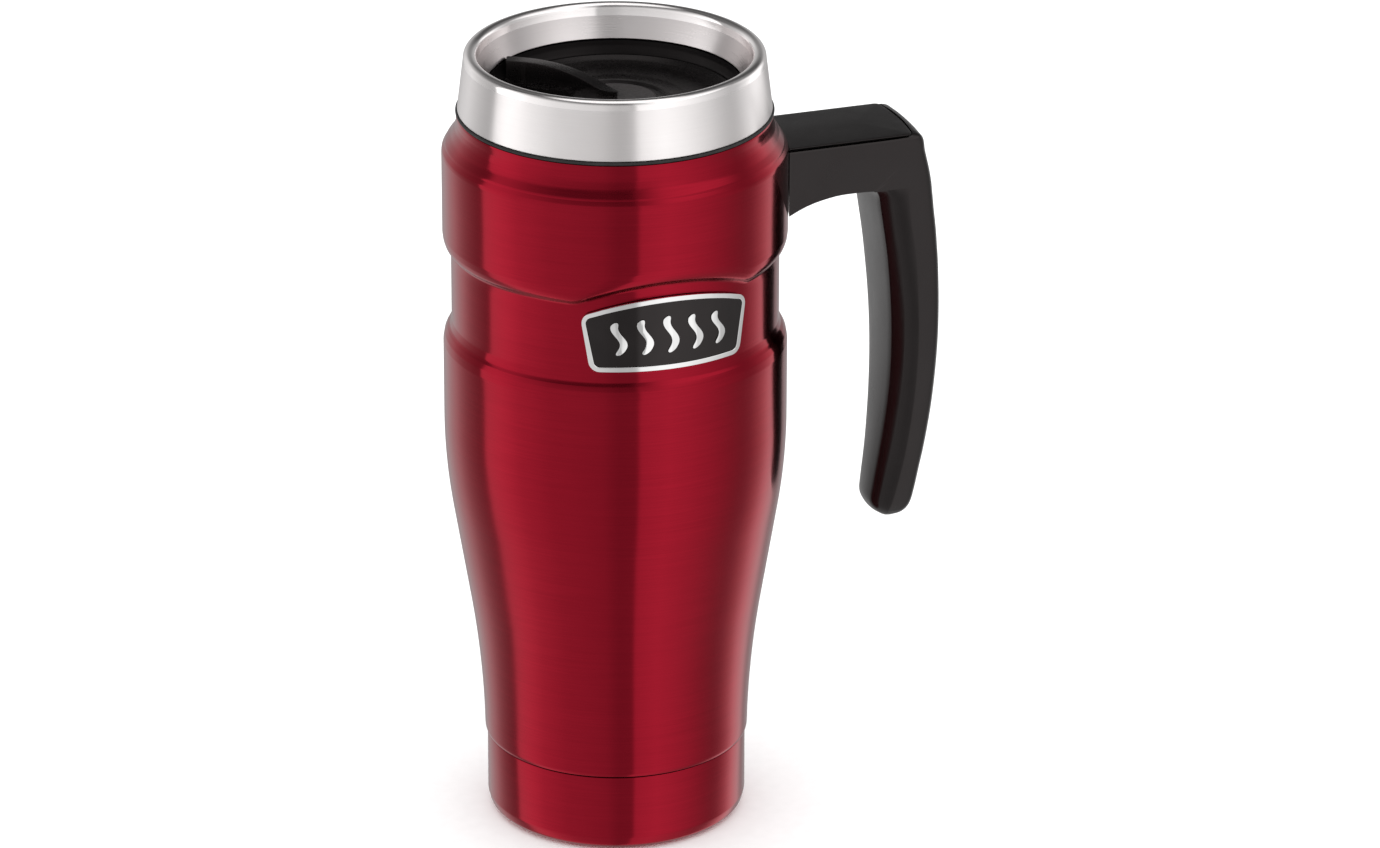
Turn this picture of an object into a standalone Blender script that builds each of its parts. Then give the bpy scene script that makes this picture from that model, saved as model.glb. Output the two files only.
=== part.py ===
"""Insulated travel mug with a side handle and a screw lid, in metres, +Z up.

The mug stands on z = 0 with its axis on the Z axis.
The handle points along +X and the badge faces -Y.
All sizes below are in millimetres and are turned into metres as each mesh is made.
"""
import math

import bmesh
import bpy
from mathutils import Vector

MM = 0.001
SEGMENTS = 40

# Overall sizes
BAND_RADIUS = 42.9
WAIST_RADIUS = 40.8
NECK_RADIUS = 35.6
GAP = 0.3

# Base cup
BASE_RADIUS = 32.75
BASE_TOP = 20.5
FOOT_OUTER = 28.6

# Arch in the band's lower edge, above the badge
ARCH_HALF_ANGLE = 32.5
ARCH_RISE = 5.0
ARCH_DIP = 0.5
ARCH_FADE_ANGLE = 60.0

# Badge
BADGE_RADIUS = 41.2
BADGE_BOTTOM = 134.4
BADGE_TOP = 153.3
BADGE_TOP_CORNER = 148.9
BADGE_HALF_TOP = 22.2
BADGE_HALF_BOTTOM = 19.8
BADGE_BORDER = 1.05

# Handle
HANDLE_HALF_WIDTH = 12.9
GRIP_CROWN = 0.5
ARM_TOP = 175.72
CAP_HALF_WIDTH = 12.0
CAP_SEAT = 174.95
CAP_END = 75.1
BODY_CLEARANCE_RADIUS = 43.25
SCREW_POSITIONS = {"handle_screw_inner": 50.0, "handle_screw_outer": 57.0}

# Lid
RIM_CENTRE = (35.64, 201.29)
RIM_RADIUS = 1.71
FLOOR_TOP = 187.0
FLOOR_UNDER = 184.2
DRINK_HOLE_RADIUS = 4.2
DRINK_HOLE_OFFSET = 23.5
DIAL_RADIUS = 29.9
BOWL_RADIUS = 30.25
DIAL_TOP = 189.6
WELL_START = 137.0
WELL_END = 236.0

# Screw thread between lid and neck: two starts
THREAD_LEAD = 14.0
THREAD_TURN = 0.45
FEMALE_THREAD_START = 174.2
MALE_THREAD_START = 171.9


def clear_scene():
    for old in list(bpy.data.objects):
        bpy.data.objects.remove(old, do_unlink=True)


def add_object(name, mesh):
    piece = bpy.data.objects.new(name, mesh)
    bpy.context.scene.collection.objects.link(piece)
    return piece


def outward(mesh):
    """Weld repeated corners and turn every face outwards."""
    work = bmesh.new()
    work.from_mesh(mesh)
    bmesh.ops.remove_doubles(work, verts=work.verts, dist=1e-6)
    bmesh.ops.recalc_face_normals(work, faces=work.faces)
    work.to_mesh(mesh)
    work.free()
    mesh.update()


def bake(piece):
    """Replace a piece's mesh with its mesh after modifiers."""
    bpy.context.view_layer.update()
    graph = bpy.context.evaluated_depsgraph_get()
    solid = bpy.data.meshes.new_from_object(piece.evaluated_get(graph))
    piece.modifiers.clear()
    old = piece.data
    piece.data = solid
    bpy.data.meshes.remove(old)
    outward(solid)
    solid.name = piece.name
    return piece


def profile_mesh(name, points, closed):
    """A line of points in the XZ plane: (radius, height) in millimetres."""
    mesh = bpy.data.meshes.new(name)
    corners = [(r * MM, 0.0, z * MM) for r, z in points]
    edges = [(i, i + 1) for i in range(len(points) - 1)]
    if closed:
        edges.append((len(points) - 1, 0))
    mesh.from_pydata(corners, edges, [])
    return mesh


def turned(name, points, segments=SEGMENTS):
    """Turn a profile about the Z axis; one that starts on the axis also ends on it."""
    ring = points[0][0] > 0.0
    piece = add_object(name, profile_mesh(name, points, ring))
    spin = piece.modifiers.new("spin", "SCREW")
    spin.axis = "Z"
    spin.angle = math.tau
    spin.steps = segments
    spin.render_steps = segments
    spin.use_merge_vertices = True
    spin.merge_threshold = 0.00001
    return bake(piece)


def combine(piece, tools, operation):
    """Cut the tools from a piece, or join them to it, and drop the tools."""
    for tool in tools:
        step = piece.modifiers.new(operation.lower(), "BOOLEAN")
        step.operation = operation
        step.solver = "EXACT"
        step.object = tool
    bake(piece)
    for tool in tools:
        bpy.data.objects.remove(tool, do_unlink=True)
    return piece


def cylinder(name, radius, low, high, x=0.0, y=0.0, segments=32):
    """An upright cylinder between two heights."""
    mesh = bpy.data.meshes.new(name)
    work = bmesh.new()
    bmesh.ops.create_cone(
        work, cap_ends=True, segments=segments,
        radius1=radius * MM, radius2=radius * MM, depth=(high - low) * MM)
    shift = Vector((x * MM, y * MM, (low + high) / 2 * MM))
    bmesh.ops.translate(work, verts=work.verts, vec=shift)
    work.to_mesh(mesh)
    work.free()
    return add_object(name, mesh)


def box(name, low, high):
    """A box between two opposite corners."""
    mesh = bpy.data.meshes.new(name)
    work = bmesh.new()
    bmesh.ops.create_cube(work, size=1.0)
    size = [(b - a) * MM for a, b in zip(low, high)]
    middle = [(a + b) / 2 * MM for a, b in zip(low, high)]
    bmesh.ops.scale(work, verts=work.verts, vec=size)
    bmesh.ops.translate(work, verts=work.verts, vec=middle)
    work.to_mesh(mesh)
    work.free()
    return add_object(name, mesh)


def prism(name, outline, low, high):
    """An upright solid over a flat outline of (x, y) points."""
    mesh = bpy.data.meshes.new(name)
    work = bmesh.new()
    corners = [work.verts.new((x * MM, y * MM, low * MM)) for x, y in outline]
    bottom = work.faces.new(corners)
    grown = bmesh.ops.extrude_face_region(work, geom=[bottom])
    top = [v for v in grown["geom"] if isinstance(v, bmesh.types.BMVert)]
    bmesh.ops.translate(work, verts=top, vec=(0, 0, (high - low) * MM))
    bmesh.ops.recalc_face_normals(work, faces=work.faces)
    work.to_mesh(mesh)
    work.free()
    return add_object(name, mesh)


def loft(name, rings):
    """A closed solid through a row of rings with the same number of points."""
    mesh = bpy.data.meshes.new(name)
    work = bmesh.new()
    rows = []
    for ring in rings:
        rows.append([work.verts.new(Vector(point) * MM) for point in ring])
    count = len(rows[0])
    for first, second in zip(rows, rows[1:]):
        for i in range(count):
            j = (i + 1) % count
            work.faces.new((first[i], first[j], second[j], second[i]))
    work.faces.new(rows[0])
    work.faces.new(rows[-1])
    bmesh.ops.triangulate(work, faces=work.faces)
    bmesh.ops.recalc_face_normals(work, faces=work.faces)
    work.to_mesh(mesh)
    work.free()
    return add_object(name, mesh)


def helix_ridge(name, root, crest, base_height, turn, start_angle, half_root=1.0, half_crest=0.5):
    """A thread ridge: a trapezium swept along part of a helix, tapered at its ends."""
    steps = 22
    rings = []
    for i in range(steps + 1):
        part = i / steps
        angle = math.radians(start_angle) + part * turn * math.tau
        height = base_height + part * turn * THREAD_LEAD
        grow = min(1.0, 0.15 + 6.0 * min(part, 1.0 - part))
        tip = root + (crest - root) * grow
        section = [(root, -half_root), (tip, -half_crest), (tip, half_crest), (root, half_root)]
        rings.append([(r * math.cos(angle), r * math.sin(angle), height + z) for r, z in section])
    return loft(name, rings)


def arch_shift(angle):
    """Height change of the band's lower edge at an angle from the badge's middle."""
    off = abs(angle)
    if off <= ARCH_HALF_ANGLE:
        return ARCH_RISE * (1.0 - (off / ARCH_HALF_ANGLE) ** 2) - ARCH_DIP
    if off < ARCH_FADE_ANGLE:
        left = (ARCH_FADE_ANGLE - off) / (ARCH_FADE_ANGLE - ARCH_HALF_ANGLE)
        return -ARCH_DIP * left * left
    return 0.0


def arch_weight(height):
    """How far a point of the shell follows the arch, by its height."""
    if height <= 149.5 or height >= 169.0:
        return 0.0
    if height < 151.2:
        return (height - 149.5) / 1.7
    if height > 156.8:
        return (169.0 - height) / 12.2
    return 1.0


def make_outer_shell():
    outside = [
        (39.05, 187.00), (39.18, 186.60), (39.22, 184.90), (39.50, 183.40), (40.55, 181.25),
        (41.90, 179.50), (42.10, 179.00), (42.80, 177.90), (42.92, 177.00), (42.90, 166.00),
        (BAND_RADIUS, 156.20),
        (42.70, 154.60), (42.20, 153.10), (41.10, 152.10), (WAIST_RADIUS, 151.50),
        (WAIST_RADIUS, 149.40), (WAIST_RADIUS, 133.20), (41.20, 131.30), (41.85, 130.50),
        (42.55, 129.20), (BAND_RADIUS, 127.20), (BAND_RADIUS, 107.20), (42.67, 99.10),
        (41.80, 89.60), (40.18, 78.80), (37.44, 62.50), (35.45, 49.20), (34.20, 38.20),
        (33.55, 28.50), (33.35, 21.60), (33.00, 21.00),
    ]
    inside = [
        (32.75, 21.00), (32.85, 27.00), (34.10, 42.50), (36.30, 59.60), (39.60, 79.40),
        (41.50, 93.00), (42.25, 107.00), (42.25, 127.40), (40.90, 130.80), (40.20, 132.80),
        (40.20, 151.90), (42.00, 154.40), (42.25, 157.00), (42.30, 176.80), (41.20, 179.30),
        (38.95, 182.70), (38.45, 184.60), (38.45, 187.00),
    ]
    shell = turned("outer_shell", outside + inside)
    for corner in shell.data.vertices:
        height = corner.co.z / MM
        weight = arch_weight(height)
        if weight > 0.0:
            angle = math.degrees(math.atan2(corner.co.x, -corner.co.y))
            corner.co.z = (height + weight * arch_shift(angle)) * MM
    shell.data.update()
    return shell


def make_base_cup():
    outside = [
        (32.40, 24.50), (32.45, 20.80), (BASE_RADIUS, BASE_TOP), (BASE_RADIUS, 3.90),
        (32.20, 1.70), (30.90, 0.40), (FOOT_OUTER, 0.0), (24.00, 0.0), (22.80, 1.20),
        (20.20, 1.20), (19.00, 0.0), (0.0, 0.0),
    ]
    inside = [
        (0.0, 0.90), (18.60, 0.90), (19.80, 2.10), (23.20, 2.10), (24.40, 0.90), (29.40, 0.90),
        (31.30, 2.20), (31.75, 4.50), (31.75, 24.50),
    ]
    return turned("base_cup", inside + outside)


def make_inner_liner():
    outside = [
        (38.10, 186.95), (38.10, 186.25), (36.20, 185.80), (36.20, 171.20), (34.40, 167.70),
        (34.40, 85.20), (30.60, 45.00), (30.60, 18.50), (29.60, 15.20), (25.60, 13.40), (0.0, 13.40),
    ]
    inside = [
        (0.0, 14.00), (25.40, 14.00), (29.10, 15.70), (30.00, 18.60), (30.00, 45.10),
        (33.80, 85.30), (33.80, 167.85), (NECK_RADIUS, 171.40), (NECK_RADIUS, 186.50), (36.00, 186.95),
    ]
    liner = turned("inner_liner", inside + outside)
    ridges = []
    for start in (0.0, 180.0):
        ridge = helix_ridge(
            "neck_ridge", NECK_RADIUS + 0.25, 34.4, FEMALE_THREAD_START, THREAD_TURN, start)
        ridges.append(ridge)
    return combine(liner, ridges, "UNION")


def make_vacuum_parts():
    turned("foil_shield", [(35.6, 158.0), (35.6, 92.0), (35.2, 92.0), (35.2, 158.0)])
    turned("vacuum_plate", [
        (31.35, 12.20), (31.35, 9.60), (27.00, 8.60), (3.40, 8.60), (3.40, 9.40), (26.80, 9.40),
        (30.60, 10.20), (30.60, 12.20)])
    turned("seal_plug", [
        (0.0, 10.20), (4.60, 10.20), (4.60, 9.70), (3.05, 9.70), (3.05, 7.60), (0.0, 7.60)],
        segments=24)
    turned("getter_puck", [
        (14.00, 12.60), (14.50, 12.30), (14.50, 10.50), (10.50, 10.50), (10.50, 12.60)],
        segments=32)


def wrap_badge(piece):
    """Bend a flat badge piece (x across, y outwards, z up) round the mug."""
    for corner in piece.data.vertices:
        across, out, up = [value / MM for value in corner.co]
        angle = across / BADGE_RADIUS
        reach = BADGE_RADIUS + out
        corner.co = Vector((reach * math.sin(angle), -reach * math.cos(angle), up)) * MM
    outward(piece.data)
    return piece


def badge_top(across, inset):
    """Height of the badge's bowed top edge."""
    bow = (BADGE_TOP - BADGE_TOP_CORNER) * (across / BADGE_HALF_TOP) ** 2
    return BADGE_TOP - bow - inset


def badge_strip(name, inset, inner, outer, corner=1.6, columns=22):
    """A badge-shaped plate, flat for now, as a row of upright slices."""
    low = BADGE_BOTTOM + inset
    rings = []
    half_low = BADGE_HALF_BOTTOM - inset
    half_high = BADGE_HALF_TOP - inset
    stations = []
    for i in range(columns + 1):
        stations.append(-math.cos(math.pi * i / columns))
    for part in stations[1:-1]:
        edge = half_high * part
        top = badge_top(edge, inset)
        room = half_high - abs(edge)
        if room < corner:
            top -= corner - math.sqrt(max(0.0, corner ** 2 - (corner - room) ** 2))
        bottom = low
        slope = (half_high - half_low) / (BADGE_TOP_CORNER - low)
        if abs(edge) > half_low - corner:
            bottom = low + max(0.0, abs(edge) - half_low) / slope
            bottom += 0.35 * corner * min(1.0, (abs(edge) - half_low + corner) / corner)
        bottom = min(bottom, top - 0.4)
        rings.append([
            (edge, inner, bottom), (edge, inner, top), (edge, outer, top), (edge, outer, bottom)])
    return loft(name, rings)


def make_badge():
    plate = badge_strip("badge_plate", 0.0, 0.0, 0.75)
    pocket = badge_strip("pocket", BADGE_BORDER, 0.30, 1.2, corner=1.0)
    combine(plate, [pocket], "DIFFERENCE")
    wrap_badge(plate)
    field = badge_strip("badge_field", BADGE_BORDER + 0.12, 0.36, 0.58, corner=0.9)
    wrap_badge(field)
    for index in range(5):
        make_steam_mark(index)


def make_steam_mark(index):
    """One raised steam line on the badge."""
    centre = (index - 2) * 6.4
    height = 9.6 - 0.5 * abs(index - 2)
    middle = 143.7 - 0.25 * abs(index - 2)
    rings = []
    for i in range(15):
        part = i / 14
        up = middle + (part - 0.5) * height
        across = centre + 1.15 * math.sin(part * math.tau * 0.95 - 0.3)
        half = 0.9 * min(1.0, 0.45 + 3.0 * min(part, 1.0 - part))
        rings.append([
            (across - half, 0.64, up), (across + half, 0.64, up),
            (across + half, 0.88, up), (across - half, 0.88, up)])
    return wrap_badge(loft("steam_mark_%d" % (index + 1), rings))


def handle_section(outer, inner, half, grip=None):
    """One ring of the handle between its outer and inner points in the XZ plane.

    The arm's rings are square at the inner side. The grip's have a slightly crowned inner face
    out to an edge, then two facets; grip holds the edge's distance from the middle, the depth and
    distance of the line between the facets, and the depth at which the side face starts.
    """
    ox, oz = outer
    ix, iz = inner
    depth = math.hypot(ox - ix, oz - iz)
    if grip is None:
        rows = [(0.0, 4.0), (0.0, half - 0.45), (0.13, half - 0.1), (0.5, half), (2.0, half)]
    else:
        edge, facet_depth, facet_side, side_depth = grip
        middle = ((facet_depth + side_depth) / 2, (facet_side + half) / 2 + 0.1)
        rows = [(0.0, 0.35 * edge), (GRIP_CROWN, edge), (facet_depth, facet_side), middle]
        rows.append((side_depth, half))
    size = min(1.0, half / 8.5)
    for back, down in ((2.0, 0.05), (0.85, 0.40), (0.05, 1.30)):
        rows.append((depth - back * size, half - down * size))
    rows += [(depth + 0.25, half * 0.68), (depth + 0.6, half * 0.3)]
    ux = (ox - ix) / depth
    uz = (oz - iz) / depth
    ring = []
    for reach, side in rows:
        ring.append((ix + ux * reach, -side, iz + uz * reach))
    for x, y, z in list(reversed(ring)):
        ring.append((x, -y, z))
    return ring


def cap_outline(inset):
    """The handle cap's outline from above, with a bowed outer end and rounded corners."""
    half = CAP_HALF_WIDTH - inset
    corner = max(0.3, 1.4 - inset)
    line = [(36.0, -half)]
    for k in range(-7, 8):
        across = half * math.sin(math.pi / 2 * k / 7)
        past = max(0.0, abs(across) - (half - corner))
        drop = corner - math.sqrt(max(0.0, corner ** 2 - past ** 2))
        line.append((CAP_END - inset - (across / CAP_HALF_WIDTH) ** 2 - drop, across))
    return line + [(36.0, half)]


def make_handle_frame():
    wide = HANDLE_HALF_WIDTH
    arm = [
        ((38.0, ARM_TOP), (38.0, 156.6)), ((46.0, ARM_TOP), (46.0, 160.4)),
        ((54.0, ARM_TOP), (53.5, 162.1)), ((62.0, ARM_TOP), (59.5, 162.3)),
        ((69.0, ARM_TOP), (62.6, 162.2)), ((73.0, ARM_TOP + 0.05), (63.3, 162.15)),
        ((75.3, ARM_TOP), (63.6, 162.12)), ((76.55, 175.2), (63.7, 162.11)),
        ((77.2, 174.4), (63.75, 162.1)), ((77.5, 173.2), (63.78, 162.08)),
        ((77.7, 171.6), (63.8, 162.06)), ((78.15, 169.6), (63.86, 162.04)),
        ((79.0, 166.0), (63.88, 162.02)), ((79.6, 162.6), (63.9, 162.0)),
    ]
    grip = [
        ((79.65, 162.2), (63.9, 161.9), wide, (9.3, 3.2, 11.7, 8.9)),
        ((79.75, 161.2), (65.0, 161.0), wide, (9.3, 3.1, 11.7, 8.0)),
        ((79.85, 160.2), (65.7, 160.0), wide, (9.3, 3.0, 11.7, 7.4)),
        ((80.05, 158.4), (66.3, 158.4), wide, (9.3, 3.0, 11.75, 7.0)),
        ((80.4, 155.0), (66.8, 155.0), wide, (9.3, 3.0, 11.75, 6.83)),
        ((81.0, 150.0), (67.57, 150.0), wide, (9.3, 3.05, 11.75, 6.72)),
        ((81.42, 145.0), (68.32, 145.0), wide, (9.25, 3.1, 11.8, 6.78)),
        ((81.77, 140.0), (68.93, 140.0), wide, (9.15, 3.15, 11.8, 6.70)),
        ((82.05, 135.0), (69.45, 135.0), 12.88, (8.97, 3.2, 11.72, 6.52)),
        ((82.15, 130.0), (69.84, 130.0), 12.8, (8.75, 3.2, 11.6, 6.36)),
        ((82.2, 120.0), (70.34, 120.0), 12.4, (8.25, 3.0, 11.15, 6.2)),
        ((81.88, 110.0), (70.33, 110.0), 11.6, (7.65, 2.9, 10.4, 6.1)),
        ((81.2, 100.0), (69.79, 100.0), 10.6, (6.8, 2.7, 9.35, 6.05)),
        ((80.05, 90.0), (68.83, 90.0), 9.45, (5.8, 2.45, 8.1, 5.95)),
        ((79.1, 84.0), (68.08, 84.0), 8.75, (5.3, 2.2, 7.35, 5.7)),
        ((78.1, 78.0), (67.25, 78.0), 8.1, (4.9, 1.95, 6.8, 5.35)),
        ((77.1, 73.6), (66.9, 74.3), 7.4, (4.55, 1.8, 6.2, 4.8)),
        ((75.5, 71.2), (67.8, 71.9), 6.3, (3.85, 1.35, 5.2, 3.4)),
        ((73.4, 69.9), (69.6, 70.3), 4.4, (2.7, 0.9, 3.6, 1.7)),
    ]
    stations = [(outer, inner, wide) for outer, inner in arm] + grip
    frame = loft("handle_frame", [handle_section(*station) for station in stations])
    cuts = [
        cylinder("body_room", BODY_CLEARANCE_RADIUS, 150.0, 182.0, segments=SEGMENTS),
        cylinder("plate_room", 44.5, 161.6, 173.5, segments=SEGMENTS),
        box("tongue_room", (40.0, -6.4, 164.6), (61.4, 6.4, 169.4)),
        prism("cap_room", cap_outline(-GAP), CAP_SEAT, 184.0),
    ]
    limit = box("plate_limit", (40.0, -8.4, 150.0), (50.0, 8.4, 182.0))
    combine(cuts[1], [limit], "INTERSECT")
    for middle in SCREW_POSITIONS.values():
        cuts.append(cylinder("shaft_room", 1.75, 168.0, 175.0, x=middle, segments=20))
        cuts.append(cylinder("head_room", 3.1, 171.6, 175.5, x=middle, segments=20))
    return combine(frame, cuts, "DIFFERENCE")


def make_handle_cap():
    """The slightly crowned cover in the top of the arm, with undercut sides."""
    low = CAP_SEAT + GAP
    rings = []
    levels = [(0.6, low), (0.0, 175.75), (0.0, 175.84), (0.22, 175.95), (5.0, 176.13), (9.5, 176.23)]
    for inset, height in levels:
        rings.append([(x, y, height) for x, y in cap_outline(inset)])
    cap = loft("handle_cap", rings)
    room = cylinder("body_room", BODY_CLEARANCE_RADIUS, 170.0, 182.0, segments=SEGMENTS)
    return combine(cap, [room], "DIFFERENCE")


def make_handle_bracket():
    """Steel strap on the shell with a tongue that the handle is screwed to."""
    strap = turned("handle_bracket", [
        (44.15, 173.1), (44.15, 162.0), (43.2, 162.0), (43.2, 173.1)])
    combine(strap, [box("strap_limit", (40.0, -8.0, 160.0), (50.0, 8.0, 175.0))], "INTERSECT")
    combine(strap, [box("tongue", (43.7, -6.0, 165.0), (61.0, 6.0, 169.0))], "UNION")
    holes = []
    for middle in SCREW_POSITIONS.values():
        holes.append(cylinder("screw_hole", 1.5, 164.0, 170.0, x=middle, segments=20))
    return combine(strap, holes, "DIFFERENCE")


def make_handle_screws():
    for name, middle in SCREW_POSITIONS.items():
        screw = cylinder(name, 2.7, 171.9, 174.4, x=middle, segments=24)
        shaft = cylinder("shaft", 1.35, 165.4, 172.4, x=middle, segments=16)
        combine(screw, [shaft], "UNION")
        combine(screw, [cylinder("socket", 1.3, 173.0, 176.0, x=middle, segments=6)], "DIFFERENCE")


def make_lid_ring():
    """Steel trim: tapered skirt, rolled rim and inner funnel in one piece."""
    cx, cz = RIM_CENTRE
    outside = []
    for degrees in (160, 130, 100, 70, 40, 7):
        angle = math.radians(degrees)
        outside.append((cx + RIM_RADIUS * math.cos(angle), cz + RIM_RADIUS * math.sin(angle)))
    outside += [(38.56, 191.10), (38.94, 188.10)]
    inside = [(38.25, 188.10), (37.85, 191.10), (36.60, 200.90)]
    for degrees in (40, 90, 140):
        angle = math.radians(degrees)
        inside.append((cx + 1.05 * math.cos(angle), cz + 1.05 * math.sin(angle)))
    funnel = [(32.10, 194.60), (31.46, 194.65)]
    return turned("lid_ring", outside + inside + funnel)


def make_lid_body():
    outside = [
        (36.10, 200.30), (37.60, 190.40), (37.90, 188.20), (35.60, 188.20), (35.10, 187.60),
        (35.10, 184.60), (33.90, 183.60), (33.90, 170.70),
    ]
    inside = [
        (31.30, 170.70), (31.30, FLOOR_UNDER), (2.60, FLOOR_UNDER), (2.60, FLOOR_TOP),
        (BOWL_RADIUS, FLOOR_TOP), (BOWL_RADIUS, 191.05), (30.60, 191.55), (31.20, 192.90),
        (31.45, 194.20), (32.40, 194.20), (32.60, 195.00), (34.90, 200.00),
    ]
    lid = turned("lid_body", outside + inside)
    ridges = []
    for start in (0.0, 180.0):
        ridges.append(helix_ridge("lid_ridge", 33.65, 35.05, MALE_THREAD_START, THREAD_TURN, start))
    spout = cylinder("spout", 5.7, 171.0, 185.0, y=-DRINK_HOLE_OFFSET, segments=32)
    combine(lid, ridges + [spout], "UNION")
    hole = cylinder("drink_hole", DRINK_HOLE_RADIUS, 165.0, 190.0, y=-DRINK_HOLE_OFFSET, segments=32)
    return combine(lid, [hole], "DIFFERENCE")


def make_lid_seals():
    turned("neck_gasket", [
        (39.20, 187.95), (39.42, 187.65), (39.25, 187.25), (36.30, 187.25), (35.60, 187.60),
        (35.60, 187.95)])
    turned("plug_seal", [
        (33.90, 170.40), (34.10, 169.50), (33.70, 168.80), (31.45, 168.80), (31.45, 170.40)])
    cover = turned("lid_lower_cover", [
        (0.0, 168.60), (29.90, 168.60), (29.90, 170.40), (31.10, 170.40), (31.10, 168.50),
        (32.80, 168.50), (32.60, 167.30), (0.0, 167.30)])
    hole = cylinder("drink_hole", DRINK_HOLE_RADIUS + 0.3, 160.0, 175.0, y=-DRINK_HOLE_OFFSET, segments=32)
    return combine(cover, [hole], "DIFFERENCE")


def curve(points, steps):
    """A smooth line through points of any size (Catmull-Rom), with steps per span."""
    rows = [Vector(p) for p in points]
    rows = [2 * rows[0] - rows[1]] + rows + [2 * rows[-1] - rows[-2]]
    result = []
    for a, b, c, d in zip(rows, rows[1:], rows[2:], rows[3:]):
        for k in range(steps):
            t = k / steps
            bend = (2 * a - 5 * b + 4 * c - d) * t ** 2 + (3 * b - a - 3 * c + d) * t ** 3
            result.append(tuple(0.5 * (2 * b + (c - a) * t + bend)))
    result.append(tuple(rows[-2]))
    return result


def fin_line():
    """Middle line of the thumb fin from the hub to the wall, as (x, y, top height)."""
    return curve([
        (0.9, 1.3, 191.5), (-0.5, 3.0, 191.7), (-1.95, 5.1, 192.1), (-3.2, 7.6, 192.7),
        (-6.0, 12.3, 193.6), (-9.8, 16.7, 194.4), (-14.6, 20.2, 195.0), (-20.6, 22.7, 195.5)], 2)


def make_drink_dial():
    """Turning disc with a raised ring, a cut-away sector and a thumb fin."""
    dial = turned("drink_dial", [
        (0.0, 190.50), (10.50, 190.50), (10.90, 189.80), (12.60, 189.80), (13.00, 190.30),
        (14.00, 190.30), (18.50, 189.75), (26.50, DIAL_TOP), (28.80, 190.10),
        (DIAL_RADIUS, 190.90), (DIAL_RADIUS, 187.50), (0.0, 187.50)])
    steps = 12
    outline = []
    for i in range(steps + 1):
        angle = math.radians(WELL_START + (WELL_END - WELL_START) * i / steps)
        outline.append((33.0 * math.cos(angle), 33.0 * math.sin(angle)))
    for i in range(steps + 1):
        angle = math.radians(WELL_END + (WELL_START - WELL_END) * i / steps)
        outline.append((11.4 * math.cos(angle), 11.4 * math.sin(angle)))
    well = prism("well", outline, 180.0, 200.0)
    screw_hole = cylinder("screw_hole", 1.7, 180.0, 189.9, segments=20)
    pad_room = cylinder("pad_room", 6.2, 180.0, 188.2, y=-DRINK_HOLE_OFFSET, segments=32)
    combine(dial, [well, screw_hole, pad_room], "DIFFERENCE")
    rings = []
    line = fin_line()
    for i, (x, y, top) in enumerate(line):
        bx, by, _ = line[max(0, i - 1)]
        nx, ny, _ = line[min(len(line) - 1, i + 1)]
        length = math.hypot(nx - bx, ny - by)
        sx = -(ny - by) / length
        sy = (nx - bx) / length
        half = 0.45 + 1.3 * min(1.0, i / 3.3) ** 0.6
        low = 190.0 if i < 4 else 188.4
        rings.append([
            (x + sx * half, y + sy * half, low), (x + sx * half, y + sy * half, top - 0.2),
            (x + sx * half * 0.9, y + sy * half * 0.9, top),
            (x - sx * half * 0.9, y - sy * half * 0.9, top),
            (x - sx * half, y - sy * half, top - 0.2), (x - sx * half, y - sy * half, low)])
    room = turned("fin_room", [
        (0.0, 186.0), (29.9, 186.0), (29.9, 191.2), (30.25, 191.7), (30.85, 193.1), (31.05, 194.3),
        (31.05, 197.0), (0.0, 197.0)])
    fin = combine(loft("fin", rings), [room], "INTERSECT")
    return combine(dial, [fin], "UNION")


def make_dial_fixings():
    cylinder("dial_pad", 5.8, 187.2, 187.95, y=-DRINK_HOLE_OFFSET, segments=32)
    turned("dial_washer", [
        (6.20, 183.90), (6.20, 183.30), (2.60, 183.30), (2.60, 183.90)], segments=32)
    screw = turned("dial_screw", [
        (0.0, 189.50), (1.35, 189.50), (1.35, 187.20), (2.25, 187.20), (2.25, 183.00),
        (4.20, 183.00), (4.20, 181.40), (0.0, 181.40)], segments=24)
    return combine(screw, [cylinder("slot", 1.5, 180.0, 182.4, segments=6)], "DIFFERENCE")


clear_scene()
make_outer_shell()
make_base_cup()
make_inner_liner()
make_vacuum_parts()
make_badge()
make_handle_frame()
make_handle_cap()
make_handle_bracket()
make_handle_screws()
make_lid_ring()
make_lid_body()
make_lid_seals()
make_drink_dial()
make_dial_fixings()
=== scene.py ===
"""Looks of the insulated travel mug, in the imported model's own frame.

Shape numbers below are in millimetres and are turned into metres as each mesh is made.
The mug's axis is the Z axis, the handle points along +X and the badge faces -Y.
"""
import math

import bmesh
import bpy
from mathutils import Matrix, Vector


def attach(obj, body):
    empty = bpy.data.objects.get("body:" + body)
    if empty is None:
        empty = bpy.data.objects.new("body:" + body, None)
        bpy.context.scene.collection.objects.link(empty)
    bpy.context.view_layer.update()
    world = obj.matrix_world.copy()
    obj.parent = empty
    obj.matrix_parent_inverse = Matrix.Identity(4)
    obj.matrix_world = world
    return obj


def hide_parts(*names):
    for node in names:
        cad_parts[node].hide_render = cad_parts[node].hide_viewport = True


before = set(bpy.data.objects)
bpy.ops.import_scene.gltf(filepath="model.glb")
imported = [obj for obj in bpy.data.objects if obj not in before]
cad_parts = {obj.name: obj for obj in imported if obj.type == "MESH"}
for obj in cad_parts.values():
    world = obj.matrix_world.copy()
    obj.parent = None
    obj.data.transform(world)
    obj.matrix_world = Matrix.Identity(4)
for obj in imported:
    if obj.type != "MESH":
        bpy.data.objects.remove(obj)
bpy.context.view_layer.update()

MM = 0.001

# Segments of the pieces turned about the mug's axis.
FINE = 192
MEDIUM = 128

# Plastics and enamel reflect a little warmer than white.
WARM_SHEEN = (1.0, 0.89, 0.885, 1)


# ---------------------------------------------------------------- mesh helpers

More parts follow.
